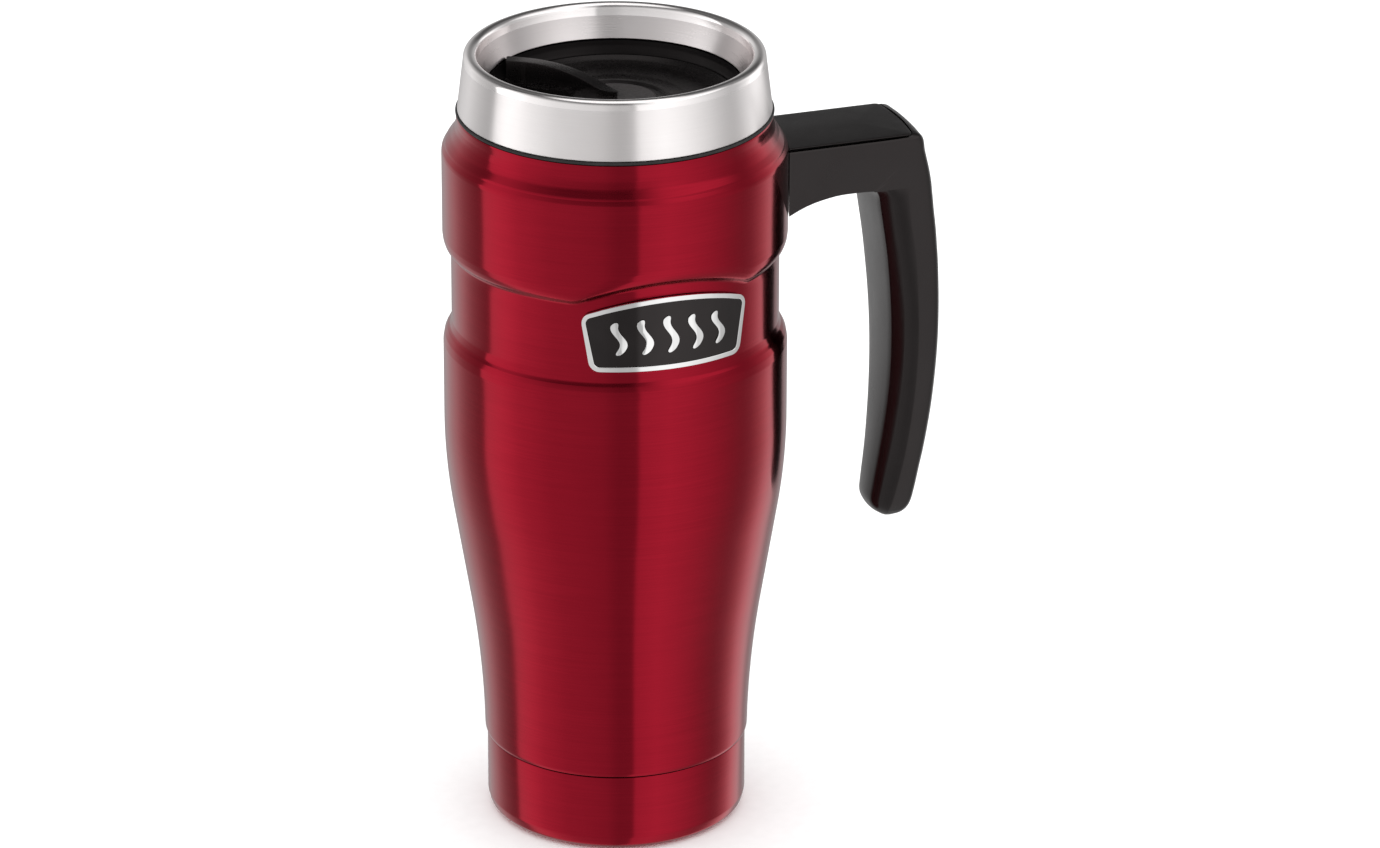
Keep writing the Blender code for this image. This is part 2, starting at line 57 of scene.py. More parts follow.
def add_object(name, mesh):
    piece = bpy.data.objects.new(name, mesh)
    bpy.context.scene.collection.objects.link(piece)
    return piece


def object_from(work, name):
    """A new object from a bmesh, with its faces turned outwards."""
    bmesh.ops.recalc_face_normals(work, faces=work.faces)
    mesh = bpy.data.meshes.new(name)
    work.to_mesh(mesh)
    work.free()
    return add_object(name, mesh)


def bake(piece):
    """Replace a piece's mesh with its mesh after modifiers."""
    bpy.context.view_layer.update()
    graph = bpy.context.evaluated_depsgraph_get()
    solid = bpy.data.meshes.new_from_object(piece.evaluated_get(graph))
    piece.modifiers.clear()
    old = piece.data
    piece.data = solid
    bpy.data.meshes.remove(old)
    solid.name = piece.name


def smooth(piece, degrees=32.0):
    mesh = piece.data
    for face in mesh.polygons:
        face.use_smooth = True
    mesh.set_sharp_from_angle(angle=math.radians(degrees))
    mesh.update()
    return piece


def rounded(points, closed=False):
    """Turn corners given as (x, y, radius) into arcs; a pair (x, y) stays a corner."""
    result = []
    count = len(points)
    for i, point in enumerate(points):
        here = Vector(point[:2])
        end = not closed and i in (0, count - 1)
        if len(point) == 2 or end:
            result.append(tuple(here))
            continue
        before = Vector(points[i - 1][:2]) - here
        after = Vector(points[(i + 1) % count][:2]) - here
        opening = before.angle(after, math.pi)
        if opening > math.radians(178.5) or opening < 1e-3:
            result.append(tuple(here))
            continue
        cut = point[2] / math.tan(opening / 2)
        cut = min(cut, 0.48 * before.length, 0.48 * after.length)
        radius = cut * math.tan(opening / 2)
        inward = (before.normalized() + after.normalized()).normalized()
        centre = here + inward * radius / math.sin(opening / 2)
        first = here + before.normalized() * cut - centre
        last = here + after.normalized() * cut - centre
        turn = math.pi - opening
        steps = max(2, int(math.degrees(turn) / 14) + 1)
        sign = 1.0 if first.x * last.y - first.y * last.x > 0 else -1.0
        for k in range(steps + 1):
            angle = sign * turn * k / steps
            x = first.x * math.cos(angle) - first.y * math.sin(angle)
            y = first.x * math.sin(angle) + first.y * math.cos(angle)
            result.append((centre.x + x, centre.y + y))
    return result


def curve(points, steps):
    """A smooth line through points of any size (Catmull-Rom), with steps per span."""
    rows = [Vector(p) for p in points]
    rows = [2 * rows[0] - rows[1]] + rows + [2 * rows[-1] - rows[-2]]
    result = []
    for a, b, c, d in zip(rows, rows[1:], rows[2:], rows[3:]):
        for k in range(steps):
            t = k / steps
            value = 0.5 * (
                2 * b + (c - a) * t + (2 * a - 5 * b + 4 * c - d) * t * t
                + (3 * b - a - 3 * c + d) * t * t * t)
            result.append(tuple(value))
    result.append(tuple(rows[-2]))
    return result


def arc(cx, cz, radius, first, last, steps):
    result = []
    for k in range(steps + 1):
        angle = math.radians(first + (last - first) * k / steps)
        result.append((cx + radius * math.cos(angle), cz + radius * math.sin(angle)))
    return result


def turned(name, points, segments=MEDIUM, degrees=32.0):
    """Turn a profile of (radius, height) about the Z axis; closed, unless it starts there."""
    work = bmesh.new()
    rows = []
    for r, z in points:
        if r < 1e-6:
            rows.append([work.verts.new((0.0, 0.0, z * MM))] * segments)
            continue
        ring = []
        for k in range(segments):
            angle = math.tau * k / segments
            ring.append(work.verts.new((r * math.cos(angle) * MM, r * math.sin(angle) * MM, z * MM)))
        rows.append(ring)
    if points[0][0] >= 1e-6:
        rows.append(rows[0])
    for first, second in zip(rows, rows[1:]):
        for k in range(segments):
            j = (k + 1) % segments
            corners = (first[k], second[k], second[j], first[j])
            work.faces.new(list(dict.fromkeys(corners)))
    return smooth(object_from(work, name), degrees)


def loft(name, rings):
    """A closed solid through rings with the same number of points; the first and last are filled."""
    work = bmesh.new()
    rows = [[work.verts.new(Vector(point) * MM) for point in ring] for ring in rings]
    count = len(rows[0])
    for first, second in zip(rows, rows[1:]):
        for i in range(count):
            j = (i + 1) % count
            work.faces.new((first[i], first[j], second[j], second[i]))
    work.faces.new(rows[0])
    work.faces.new(rows[-1])
    return object_from(work, name)


def plate(name, loops):
    """A flat solid from (outline, height) pairs; the first and last outlines are filled."""
    rings = [[(x, y, z) for x, y in outline] for outline, z in loops]
    return loft(name, rings)


def cylinder(name, radius, low, high, x=0.0, y=0.0, segments=64):
    ring = []
    for k in range(segments):
        angle = math.tau * k / segments
        ring.append((x + radius * math.cos(angle), y + radius * math.sin(angle)))
    return plate(name, [(ring, low), (ring, high)])


def block(name, low, high):
    ring = [(low[0], low[1]), (high[0], low[1]), (high[0], high[1]), (low[0], high[1])]
    return plate(name, [(ring, low[2]), (ring, high[2])])


def combine(piece, tools, operation):
    for tool in tools:
        step = piece.modifiers.new(operation.lower(), "BOOLEAN")
        step.operation = operation
        step.solver = "EXACT"
        step.object = tool
    bake(piece)
    for tool in tools:
        bpy.data.objects.remove(tool, do_unlink=True)
    return piece


THREAD_LEAD = 14.0
RIDGE_TURNS = 0.45


def helix_ridge(name, root, crest, base_height, start, half_root=1.0, half_crest=0.45):
    """One ridge of the two-start thread, tapered at its ends."""
    rings = []
    steps = 84
    for i in range(steps + 1):
        part = i / steps
        angle = math.radians(start) + part * RIDGE_TURNS * math.tau
        height = base_height + part * RIDGE_TURNS * THREAD_LEAD
        grow = min(1.0, 0.15 + 6.0 * min(part, 1.0 - part))
        tip = root + (crest - root) * grow
        mid = root + (crest - root) * grow * 0.85
        section = [
            (root, -half_root), (mid, -half_crest - 0.12), (tip, -half_crest + 0.1),
            (tip, half_crest - 0.1), (mid, half_crest + 0.12), (root, half_root)]
        rings.append([(r * math.cos(angle), r * math.sin(angle), height + z) for r, z in section])
    return loft(name, rings)


def finish_piece(piece, body, material, node):
    """Give a piece its material, body and slot; it stands for the CAD node of that name."""
    piece.data.materials.clear()
    piece.data.materials.append(material)
    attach(piece, body)
    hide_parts(node)


# ---------------------------------------------------------------- materials

class Nodes:
    """A short way to write nodes into an emptied tree."""

    def __init__(self, tree):
        self.tree = tree
        tree.nodes.clear()

    def node(self, kind, **settings):
        made = self.tree.nodes.new("ShaderNode" + kind)
        for key, value in settings.items():
            setattr(made, key, value)
        return made

    def link(self, source, target):
        self.tree.links.new(source, target)

    def put(self, value, target):
        if isinstance(value, bpy.types.NodeSocket):
            self.link(value, target)
        else:
            target.default_value = value

    def math(self, operation, a, b=0.0):
        made = self.node("Math", operation=operation)
        for value, target in zip((a, b), made.inputs):
            self.put(value, target)
        return made.outputs[0]

    def range(self, value, low, high, to_low, to_high, **settings):
        made = self.node("MapRange", **settings)
        self.put(value, made.inputs["Value"])
        limits = (("From Min", low), ("From Max", high), ("To Min", to_low), ("To Max", to_high))
        for key, number in limits:
            self.put(number, made.inputs[key])
        return made.outputs["Result"]

    def length(self, x, y):
        squares = [self.math("MULTIPLY", value, value) for value in (x, y)]
        return self.math("SQRT", self.math("ADD", *squares))

    def mix(self, factor, a, b, blend="MIX"):
        made = self.node("Mix", data_type="RGBA", blend_type=blend)
        self.put(factor, made.inputs["Factor"])
        self.put(a, made.inputs["A"])
        self.put(b, made.inputs["B"])
        return made.outputs["Result"]

    def grey(self, level):
        made = self.node("CombineColor")
        for socket in made.inputs[:3]:
            self.put(level, socket)
        return made.outputs["Color"]


class Maker(Nodes):
    """A material with one Principled shader."""

    def __init__(self, name):
        self.material = bpy.data.materials.new(name)
        self.material.use_nodes = True
        super().__init__(self.material.node_tree)
        self.shader = self.node("BsdfPrincipled")
        output = self.node("OutputMaterial")
        self.link(self.shader.outputs["BSDF"], output.inputs["Surface"])
        self.place = self.node("TexCoord").outputs["Object"]

    def set(self, **values):
        for key, value in values.items():
            self.put(value, self.shader.inputs[key.replace("_", " ")])

    def scaled(self, x, y, z, shift=(0.0, 0.0, 0.0)):
        mapping = self.node("Mapping")
        mapping.inputs["Scale"].default_value = (x, y, z)
        mapping.inputs["Location"].default_value = shift
        self.link(self.place, mapping.inputs["Vector"])
        return mapping.outputs["Vector"]

    def even(self, scale, shift=(0.0, 0.0, 0.0)):
        return self.scaled(scale, scale, scale, shift)

    def noise(self, vector, scale=1.0, detail=2.0, rough=0.5, distortion=0.0):
        noise = self.node("TexNoise")
        self.link(vector, noise.inputs["Vector"])
        noise.inputs["Scale"].default_value = scale
        noise.inputs["Detail"].default_value = detail
        noise.inputs["Roughness"].default_value = rough
        noise.inputs["Distortion"].default_value = distortion
        return noise.outputs["Fac"]

    def bump(self, height, strength, distance):
        made = self.node("Bump")
        self.put(height, made.inputs["Height"])
        made.inputs["Strength"].default_value = strength
        made.inputs["Distance"].default_value = distance
        self.link(made.outputs["Normal"], self.shader.inputs["Normal"])

    def edges(self, low, high):
        """One on convex edges, where handling wears a surface and where painted edge highlights go."""
        pointy = self.node("NewGeometry").outputs["Pointiness"]
        return self.range(pointy, low, high, 0.0, 1.0)


def brush_lines(maker, slope=0.0, lines=5200.0):
    """Fine turned lines round the axis: constant round the mug, changing along it."""
    split = maker.node("SeparateXYZ")
    maker.link(maker.place, split.inputs["Vector"])
    x, y, z = split.outputs
    if slope:
        z = maker.math("ADD", z, maker.math("MULTIPLY", maker.length(x, y), slope))
    join = maker.node("CombineXYZ")
    maker.put(maker.math("MULTIPLY", x, 55.0), join.inputs["X"])
    maker.put(maker.math("MULTIPLY", y, 55.0), join.inputs["Y"])
    maker.put(maker.math("MULTIPLY", z, lines), join.inputs["Z"])
    return maker.noise(join.outputs["Vector"], scale=1.0, detail=2.0, rough=0.6)


def red_paint():
    """Translucent red lacquer over brushed steel."""
    m = Maker("red_lacquer")
    lines = brush_lines(m, lines=4200.0)
    broad = m.noise(m.scaled(28.0, 28.0, 420.0), detail=3.0, rough=0.6)
    cloud = m.noise(m.scaled(16.0, 16.0, 13.0), detail=4.0, rough=0.55, distortion=0.4)
    deep = m.mix(
        m.range(cloud, 0.3, 0.7, 0.0, 1.0), (0.258, 0.0074, 0.0183, 1), (0.286, 0.0092, 0.0216, 1))
    fine = m.range(lines, 0.25, 0.75, 0.93, 1.07)
    wide = m.range(broad, 0.3, 0.7, 0.975, 1.025)
    level = m.math("MULTIPLY", fine, wide)
    brushed = m.mix(1.0, deep, m.grey(level), blend="MULTIPLY")
    specks = m.node("TexVoronoi", feature="F1")
    m.link(m.even(1.0), specks.inputs["Vector"])
    specks.inputs["Scale"].default_value = 2600.0
    flake = m.range(specks.outputs["Distance"], 0.10, 0.22, 1.0, 0.0)
    sparse = m.range(m.noise(m.even(900.0)), 0.60, 0.68, 0.0, 0.12)
    speckled = m.mix(m.math("MULTIPLY", flake, sparse), brushed, (0.46, 0.05, 0.07, 1))
    # Lighter red on convex edges: partly wear of the lacquer, partly a painted edge highlight.
    worn_and_edge_sheen = m.math("MULTIPLY", m.edges(0.53, 0.60), m.range(cloud, 0.45, 0.75, 0.0, 0.3))
    m.set(Base_Color=m.mix(worn_and_edge_sheen, speckled, (0.40, 0.045, 0.055, 1)))
    smear = m.noise(m.scaled(60.0, 60.0, 45.0, (3.0, 1.0, 7.0)), detail=5.0, rough=0.62, distortion=0.8)
    rough = m.math(
        "ADD", m.range(smear, 0.35, 0.75, 0.135, 0.165), m.range(lines, 0.3, 0.7, -0.010, 0.010))
    m.set(Metallic=1.0, Roughness=rough)
    m.set(Anisotropic=1.0, Anisotropic_Rotation=0.25)
    peel = m.noise(m.even(420.0), detail=1.0)
    relief = m.math("ADD", m.math("MULTIPLY", lines, 0.55), m.math("MULTIPLY", peel, 0.45))
    m.bump(relief, 0.10, 0.00002)
    return m.material


def turned_steel(
        name, colour, roughness, anisotropic, lines=5200.0, slope=1.3, contrast=0.06, bump=0.16):
    """Steel with fine lines round the axis, stretching reflections across them."""
    m = Maker(name)
    fine = brush_lines(m, slope=slope, lines=lines)
    coarse = brush_lines(m, slope=slope, lines=lines * 0.22)
    both = m.math("ADD", m.math("MULTIPLY", fine, 0.65), m.math("MULTIPLY", coarse, 0.35))
    level = m.range(both, 0.3, 0.7, 1.0 - contrast, 1.0 + contrast)
    cloud = m.noise(m.scaled(35.0, 35.0, 30.0), detail=4.0, rough=0.6)
    warm = tuple(c * k for c, k in zip(colour[:3], (0.985, 0.977, 0.972))) + (1,)
    tone = m.mix(m.range(cloud, 0.35, 0.7, 0.0, 1.0), colour, warm)
    brushed = m.mix(1.0, tone, m.grey(level), blend="MULTIPLY")
    # Brighter steel on convex edges: a painted edge highlight.
    bright = tuple(min(1.0, c * 1.12) for c in colour[:3]) + (1,)
    m.set(Base_Color=m.mix(m.edges(0.52, 0.58), brushed, bright))
    smear = m.noise(m.scaled(85.0, 85.0, 70.0, (2.0, 5.0, 1.0)), detail=4.0, rough=0.6, distortion=0.6)
    rough = m.math("ADD", m.range(smear, 0.3, 0.75, roughness - 0.015, roughness + 0.025),
                   m.range(fine, 0.3, 0.7, -0.02, 0.02))
    m.set(Metallic=1.0, Roughness=rough)
    m.set(Anisotropic=anisotropic, Anisotropic_Rotation=0.25)
    m.bump(both, bump, 0.00003)
    return m.material


def mill_steel(name, colour, roughness=0.36):
    """Plain rolled or turned steel of the hidden pieces, with a faint grain and stains."""
    m = Maker(name)
    grain = m.noise(m.even(700.0), detail=4.0, rough=0.65)
    stain = m.noise(m.even(90.0, (4.0, 0.0, 2.0)), detail=5.0, rough=0.6, distortion=0.7)
    dark = tuple(c * 0.80 for c in colour[:3]) + (1,)
    blue = (colour[0] * 0.90, colour[1] * 0.93, colour[2] * 1.0, 1)
    tone = m.mix(m.range(stain, 0.40, 0.72, 0.0, 0.8), colour, blue)
    m.set(Base_Color=m.mix(m.range(grain, 0.5, 0.8, 0.0, 0.7), tone, dark))
    m.set(Metallic=1.0)
    m.set(Roughness=m.math("ADD", m.range(grain, 0.3, 0.7, roughness - 0.06, roughness + 0.06),
                           m.range(stain, 0.3, 0.7, -0.03, 0.05)))
    m.bump(grain, 0.22, 0.00003)
    return m.material


def foil_metal():
    m = Maker("rolled_foil")
    crease = m.node("TexVoronoi", feature="F1")
    m.link(m.scaled(85.0, 85.0, 60.0), crease.inputs["Vector"])
    crease.inputs["Scale"].default_value = 1.0
    crumple = m.noise(m.scaled(160.0, 160.0, 110.0), detail=5.0, rough=0.6, distortion=0.5)
    folds = m.math("MULTIPLY", crease.outputs["Distance"], 0.7)
    height = m.math("ADD", folds, m.math("MULTIPLY", crumple, 0.5))
    shade = m.range(crumple, 0.3, 0.7, 0.0, 1.0)
    m.set(Base_Color=m.mix(shade, (0.80, 0.80, 0.83, 1), (0.70, 0.70, 0.72, 1)))
    m.set(Metallic=1.0, Roughness=m.range(crumple, 0.3, 0.7, 0.14, 0.26))
    m.bump(height, 0.6, 0.0004)
    return m.material


def moulded_plastic(name, dark, light, specular, roughness, grain=0.5, wear=0.35):
    """Satin moulded plastic: fine spark-eroded texture, faint flow marks, greyer on rubbed edges."""
    m = Maker(name)
    pits = m.noise(m.even(2600.0), detail=2.0, rough=0.6)
    medium = m.noise(m.even(900.0), detail=3.0, rough=0.55)
    flow = m.noise(m.scaled(45.0, 70.0, 30.0, (1.0, 2.0, 3.0)), detail=4.0, rough=0.6, distortion=0.9)
    tone = m.mix(m.range(flow, 0.3, 0.72, 0.0, 1.0), dark, light)
    pale = tuple(c * 2.6 + 0.006 for c in light[:3]) + (1,)
    rub = m.math("MULTIPLY", m.edges(0.52, 0.60), m.range(medium, 0.35, 0.70, 0.15, wear))
    m.set(Base_Color=m.mix(rub, tone, pale))
    touched = m.noise(m.scaled(130.0, 130.0, 95.0, (6.0, 2.0, 1.0)), detail=4.0, rough=0.6)
    rough = m.math("ADD", m.range(touched, 0.35, 0.7, roughness - 0.03, roughness + 0.05),
                   m.range(pits, 0.3, 0.7, -0.03, 0.03))
    m.set(Roughness=rough)
    m.shader.inputs["Specular IOR Level"].default_value = specular
    m.shader.inputs["Specular Tint"].default_value = WARM_SHEEN
    relief = m.math("ADD", m.math("MULTIPLY", pits, 0.5), m.math("MULTIPLY", medium, 0.5))
    m.bump(relief, grain, 0.00003)
    return m.material


def enamel():
    m = Maker("badge_enamel")
    fine = m.noise(m.even(1900.0), detail=3.0, rough=0.6)
    cloud = m.noise(m.even(160.0), detail=3.0, rough=0.5)
    shade = m.range(cloud, 0.3, 0.7, 0.0, 1.0)
    m.set(Base_Color=m.mix(shade, (0.0022, 0.0018, 0.0018, 1), (0.0045, 0.0037, 0.0037, 1)))
    m.set(Roughness=m.math(
        "ADD", m.range(cloud, 0.3, 0.7, 0.05, 0.09), m.range(fine, 0.3, 0.7, -0.02, 0.02)))
    m.shader.inputs["Specular IOR Level"].default_value = 0.36
    m.shader.inputs["Specular Tint"].default_value = WARM_SHEEN
    m.bump(fine, 0.12, 0.00001)
    return m.material


def bright_silver():
    m = Maker("badge_bright")
    fine = m.noise(m.scaled(2200.0, 2200.0, 700.0), detail=3.0, rough=0.6)
    cloud = m.noise(m.even(240.0), detail=4.0, rough=0.6)
    tone = m.mix(m.range(cloud, 0.3, 0.7, 0.0, 1.0), (0.80, 0.795, 0.79, 1), (0.74, 0.735, 0.73, 1))
    m.set(Base_Color=m.mix(m.range(fine, 0.62, 0.8, 0.0, 0.35), tone, (0.60, 0.59, 0.58, 1)))
    m.set(Metallic=1.0, Roughness=m.range(fine, 0.3, 0.7, 0.05, 0.10))
    m.bump(fine, 0.08, 0.00001)
    return m.material


def rubber(name, colour, scale=1500.0):
    m = Maker(name)
    grain = m.noise(m.even(scale), detail=3.0, rough=0.6)
    dust = m.noise(m.even(190.0, (1.0, 8.0, 2.0)), detail=5.0, rough=0.65)
    dusty = tuple(c * 1.9 + 0.004 for c in colour[:3]) + (1,)
    m.set(Base_Color=m.mix(m.range(dust, 0.45, 0.75, 0.0, 0.7), colour, dusty))
    m.set(Roughness=m.range(grain, 0.3, 0.7, 0.50, 0.64))
    m.shader.inputs["Specular IOR Level"].default_value = 0.35
    m.bump(grain, 0.3, 0.00004)
    return m.material


PAINT = red_paint()
RIM_STEEL = turned_steel("rim_steel", (0.85, 0.818, 0.814, 1), 0.31, 1.0, contrast=0.02, bump=0.05)
POLISHED_STEEL = turned_steel(
    "polished_rim_steel", (0.88, 0.848, 0.844, 1), 0.13, 0.85, contrast=0.02, bump=0.025)
# The funnel's steel is darker than the rim's: a painted shade of the funnel's walls. Its roughness and
# brushing are its own finish.
SHADED_FUNNEL_STEEL = turned_steel(
    "shaded_funnel_steel", (0.74, 0.702, 0.70, 1), 0.29, 0.7, contrast=0.02, bump=0.03)
LINER_STEEL = turned_steel(
    "liner_steel", (0.66, 0.655, 0.65, 1), 0.30, 0.9, lines=3800.0, slope=1.0, contrast=0.08)
HIDDEN_STEEL = mill_steel("mill_steel", (0.58, 0.575, 0.57, 1))
SCREW_STEEL = mill_steel("screw_steel", (0.62, 0.61, 0.60, 1), roughness=0.30)
GETTER_METAL = mill_steel("getter_metal", (0.40, 0.385, 0.37, 1), roughness=0.55)
FOIL = foil_metal()
HANDLE_PLASTIC = moulded_plastic(
    "handle_plastic", (0.0042, 0.0036, 0.0036, 1), (0.0065, 0.0056, 0.0056, 1), 0.31, 0.22, grain=0.3)
CAP_PLASTIC = moulded_plastic(
    "cap_plastic", (0.0038, 0.0032, 0.0032, 1), (0.0058, 0.0050, 0.0050, 1), 0.26, 0.36, grain=0.42)
LID_PLASTIC = moulded_plastic(
    "lid_plastic", (0.0028, 0.0024, 0.0025, 1), (0.0046, 0.0040, 0.0041, 1), 0.15, 0.38,
    grain=0.3, wear=0.2)
DIAL_PLASTIC = moulded_plastic(
    "dial_plastic", (0.0030, 0.0026, 0.0026, 1), (0.0050, 0.0043, 0.0043, 1), 0.20, 0.26,
    grain=0.26, wear=0.25)
HUB_PLASTIC = moulded_plastic(
    "hub_plastic", (0.0045, 0.0038, 0.0038, 1), (0.0070, 0.0060, 0.0060, 1), 0.46, 0.18,
    grain=0.12, wear=0.25)
ENAMEL = enamel()
SILVER = bright_silver()
SILICONE = rubber("black_silicone", (0.012, 0.0115, 0.0115, 1))
PAD_SILICONE = rubber("pad_silicone", (0.018, 0.0175, 0.0175, 1), scale=1900.0)


# ---------------------------------------------------------------- body

# The arch lifts the band's lower edge above the badge; the heights are where its pull starts, is
# full and has ended.
ARCH_RISE = 5.0
ARCH_DIP = 0.5
ARCH_HALF_ANGLE = 32.5
ARCH_FADE_ANGLE = 60.0
ARCH_START = 149.5
ARCH_FULL = (151.2, 156.8)
ARCH_END = 169.0


def arch_shift(angle):
    """Height change of the band's lower edge at an angle from the badge's middle."""
    off = abs(angle)
    if off <= ARCH_HALF_ANGLE:
        return ARCH_RISE * (1.0 - (off / ARCH_HALF_ANGLE) ** 2) - ARCH_DIP
    if off < ARCH_FADE_ANGLE:
        left = (ARCH_FADE_ANGLE - off) / (ARCH_FADE_ANGLE - ARCH_HALF_ANGLE)
        return -ARCH_DIP * left * left
    return 0.0


def soft_arch_shift(angle):
    """The same, with the arch's two end corners rounded over a few degrees."""
    total = 0.0
    for k in range(-4, 5):
        total += arch_shift(angle + 0.55 * k)
    return total / 9.0


def arch_weight(height):
    """How far a point of the shell follows the arch, by its height."""
    low, high = ARCH_FULL
    if height <= ARCH_START or height >= ARCH_END:
        return 0.0
    if height < low:
        return (height - ARCH_START) / (low - ARCH_START)
    if height > high:
        part = (ARCH_END - height) / (ARCH_END - high)
        return part * part * (3.0 - 2.0 * part)
    return 1.0


BAND_RADIUS = 42.9
TAPER_TOP = 107.7
TAPER_ANGLE = 9.41
UPPER_BEND = 150.4
TAPER_STRAIGHT = 25.4
LOWER_BEND = 258.7
LOWER_BEND_END = 2.3


def taper_line():
    """Below the band the body bends inwards, runs straight and bends back towards upright."""
    slope = math.radians(TAPER_ANGLE)
    line = arc(BAND_RADIUS - UPPER_BEND, TAPER_TOP, UPPER_BEND, 0.0, -TAPER_ANGLE, 20)
    x = line[-1][0] - TAPER_STRAIGHT * math.sin(slope) + LOWER_BEND * math.cos(slope)
    z = line[-1][1] - TAPER_STRAIGHT * math.cos(slope) - LOWER_BEND * math.sin(slope)
    return line + arc(x, z, LOWER_BEND, 180.0 - TAPER_ANGLE, 180.0 - LOWER_BEND_END, 18)


def make_outer_shell():
    shoulder = rounded([
        (39.05, 187.0), (39.18, 186.6, 0.2), (39.22, 184.9, 2.0), (39.5, 183.4, 3.0),
        (40.55, 181.25, 4.0), (41.9, 179.5, 2.0), (42.1, 179.0, 0.25), (42.8, 177.9, 1.2),
        (42.92, 177.0, 1.5), (42.90, 166.0)])
    band = [(42.90, z) for z in (164.0, 162.0, 160.0, 158.6, 157.6)]
    step = rounded([
        (42.90, 156.9), (42.9, 156.2, 1.5), (42.7, 154.6, 2.5), (42.2, 153.1, 2.5), (41.1, 152.1, 0.9),
        (40.8, 151.5, 0.5), (40.8, 149.4)])
    waist = [(40.8, z) for z in (146.0, 142.0, 138.0)]
    lower = rounded([
        (40.8, 134.6), (40.8, 133.2, 1.6), (41.2, 131.3, 1.2), (41.85, 130.5, 0.8), (42.55, 129.2, 1.4),
        (42.9, 127.2, 2.0), (42.9, 123.0)])
    bottom = rounded([
        (33.36, 22.4), (33.31, 21.75, 0.4), (33.10, 21.06, 0.1), (32.75, 21.0, 0.1), (32.85, 27.0)])
    inside = [
        (34.10, 42.50), (36.30, 59.60), (39.60, 79.40), (41.50, 93.00), (42.25, 107.00),
        (42.25, 127.40), (40.90, 130.80), (40.20, 132.80), (40.20, 151.90), (42.00, 154.40),
        (42.25, 157.00), (42.30, 176.80), (41.20, 179.30), (38.95, 182.70), (38.45, 184.60),
        (38.45, 187.00)]
    outside = shoulder + band + step + waist + lower + taper_line() + bottom
    shell = turned("outer_shell_smooth", outside + inside, FINE)
    for corner in shell.data.vertices:
        height = corner.co.z / MM
        weight = arch_weight(height)
        if weight > 0.0:
            angle = math.degrees(math.atan2(corner.co.x, -corner.co.y))
            corner.co.z = (height + weight * soft_arch_shift(angle)) * MM
    smooth(shell, 40.0)
    finish_piece(shell, "mug", PAINT, "outer_shell")


def make_base_cup():
    outside = rounded([
        (32.10, 24.50), (32.10, 20.95, 0.15), (32.25, 20.66, 0.12), (32.66, 20.62, 0.06),
        (32.75, 20.50, 0.08), (32.75, 12.0, 1.0), (32.75, 3.9, 2.0), (32.20, 1.70, 1.6),
        (30.90, 0.40, 1.4), (28.60, 0.0, 1.6), (24.00, 0.0, 0.5), (22.80, 1.20, 0.5),
        (20.20, 1.20, 0.5), (19.00, 0.0, 0.5), (0.0, 0.0)])
    inside = [
        (0.0, 0.90), (18.60, 0.90), (19.80, 2.10), (23.20, 2.10), (24.40, 0.90), (29.40, 0.90),
        (31.30, 2.20), (31.75, 4.50), (31.75, 24.50)]
    cup = turned("base_cup_smooth", inside + outside, FINE)
    finish_piece(cup, "mug", PAINT, "base_cup")


def make_inner_liner():
    outside = [
        (38.10, 186.95), (38.10, 186.25), (36.20, 185.80), (36.20, 171.20), (34.40, 167.70),
        (34.40, 85.20), (30.60, 45.00), (30.60, 18.50), (29.60, 15.20), (25.60, 13.40), (0.0, 13.40)]
    inside = rounded([
        (0.0, 14.00), (24.0, 14.0, 4.0), (28.2, 14.6, 3.0), (30.0, 18.6, 3.0), (30.00, 45.10, 12.0),
        (33.80, 85.30, 12.0), (33.80, 167.85, 1.2), (35.60, 171.40, 1.2), (35.60, 186.50, 0.5),
        (36.00, 186.95, 0.3), (38.10, 186.95)])
    liner = turned("inner_liner_smooth", inside + outside[1:], MEDIUM)
    ridges = [helix_ridge("neck_ridge", 35.85, 34.4, 174.2, start) for start in (0.0, 180.0)]
    smooth(combine(liner, ridges, "UNION"), 35.0)
    finish_piece(liner, "mug", LINER_STEEL, "inner_liner")


# ---------------------------------------------------------------- badge

# BADGE_RADIUS is the distance of the badge's back from the axis.
BADGE_RADIUS = 41.2
BADGE_LOW = 134.4
BADGE_HIGH = 153.3
BADGE_HALF_LOW = 19.8
BADGE_HALF_HIGH = 22.2
BADGE_BOW = 4.4
STRIP_WIDTH = 0.93
STEAM_COUNT = 5
STEAM_PITCH = 6.4
STEAM_MIDDLE = 143.7


def badge_outline(inset, corner):
    """The badge's outline: a bowed top edge, leaning sides and rounded corners."""
    low = BADGE_LOW + inset
    half_low = BADGE_HALF_LOW - inset * 0.92
    half_high = BADGE_HALF_HIGH - inset * 0.92
    top = []
    for k in range(25):
        across = half_high * (1.0 - 2.0 * k / 24)
        height = BADGE_HIGH - BADGE_BOW * (across / BADGE_HALF_HIGH) ** 2 - inset
        top.append((across, height))
    points = [(-half_low, low, corner), (half_low, low, corner)]
    points += [top[0] + (corner,)] + top[3:-3] + [top[-1] + (corner,)]
    return rounded(points, closed=True)


def wrapped(piece):
    """Cut a flat piece into narrow upright strips and bend it round the mug."""
    work = bmesh.new()
    work.from_mesh(piece.data)
    for k in range(-24, 25):
        cut = work.verts[:] + work.edges[:] + work.faces[:]
        place = (k * STRIP_WIDTH * MM, 0, 0)
        bmesh.ops.bisect_plane(work, geom=cut, plane_co=place, plane_no=(1, 0, 0))
    for corner in work.verts:
        across, up, out = [value / MM for value in corner.co]
        angle = across / BADGE_RADIUS
        reach = BADGE_RADIUS + out
        corner.co = Vector((reach * math.sin(angle), -reach * math.cos(angle), up)) * MM
    bmesh.ops.recalc_face_normals(work, faces=work.faces)
    work.to_mesh(piece.data)
    work.free()
    return smooth(piece, 30.0)


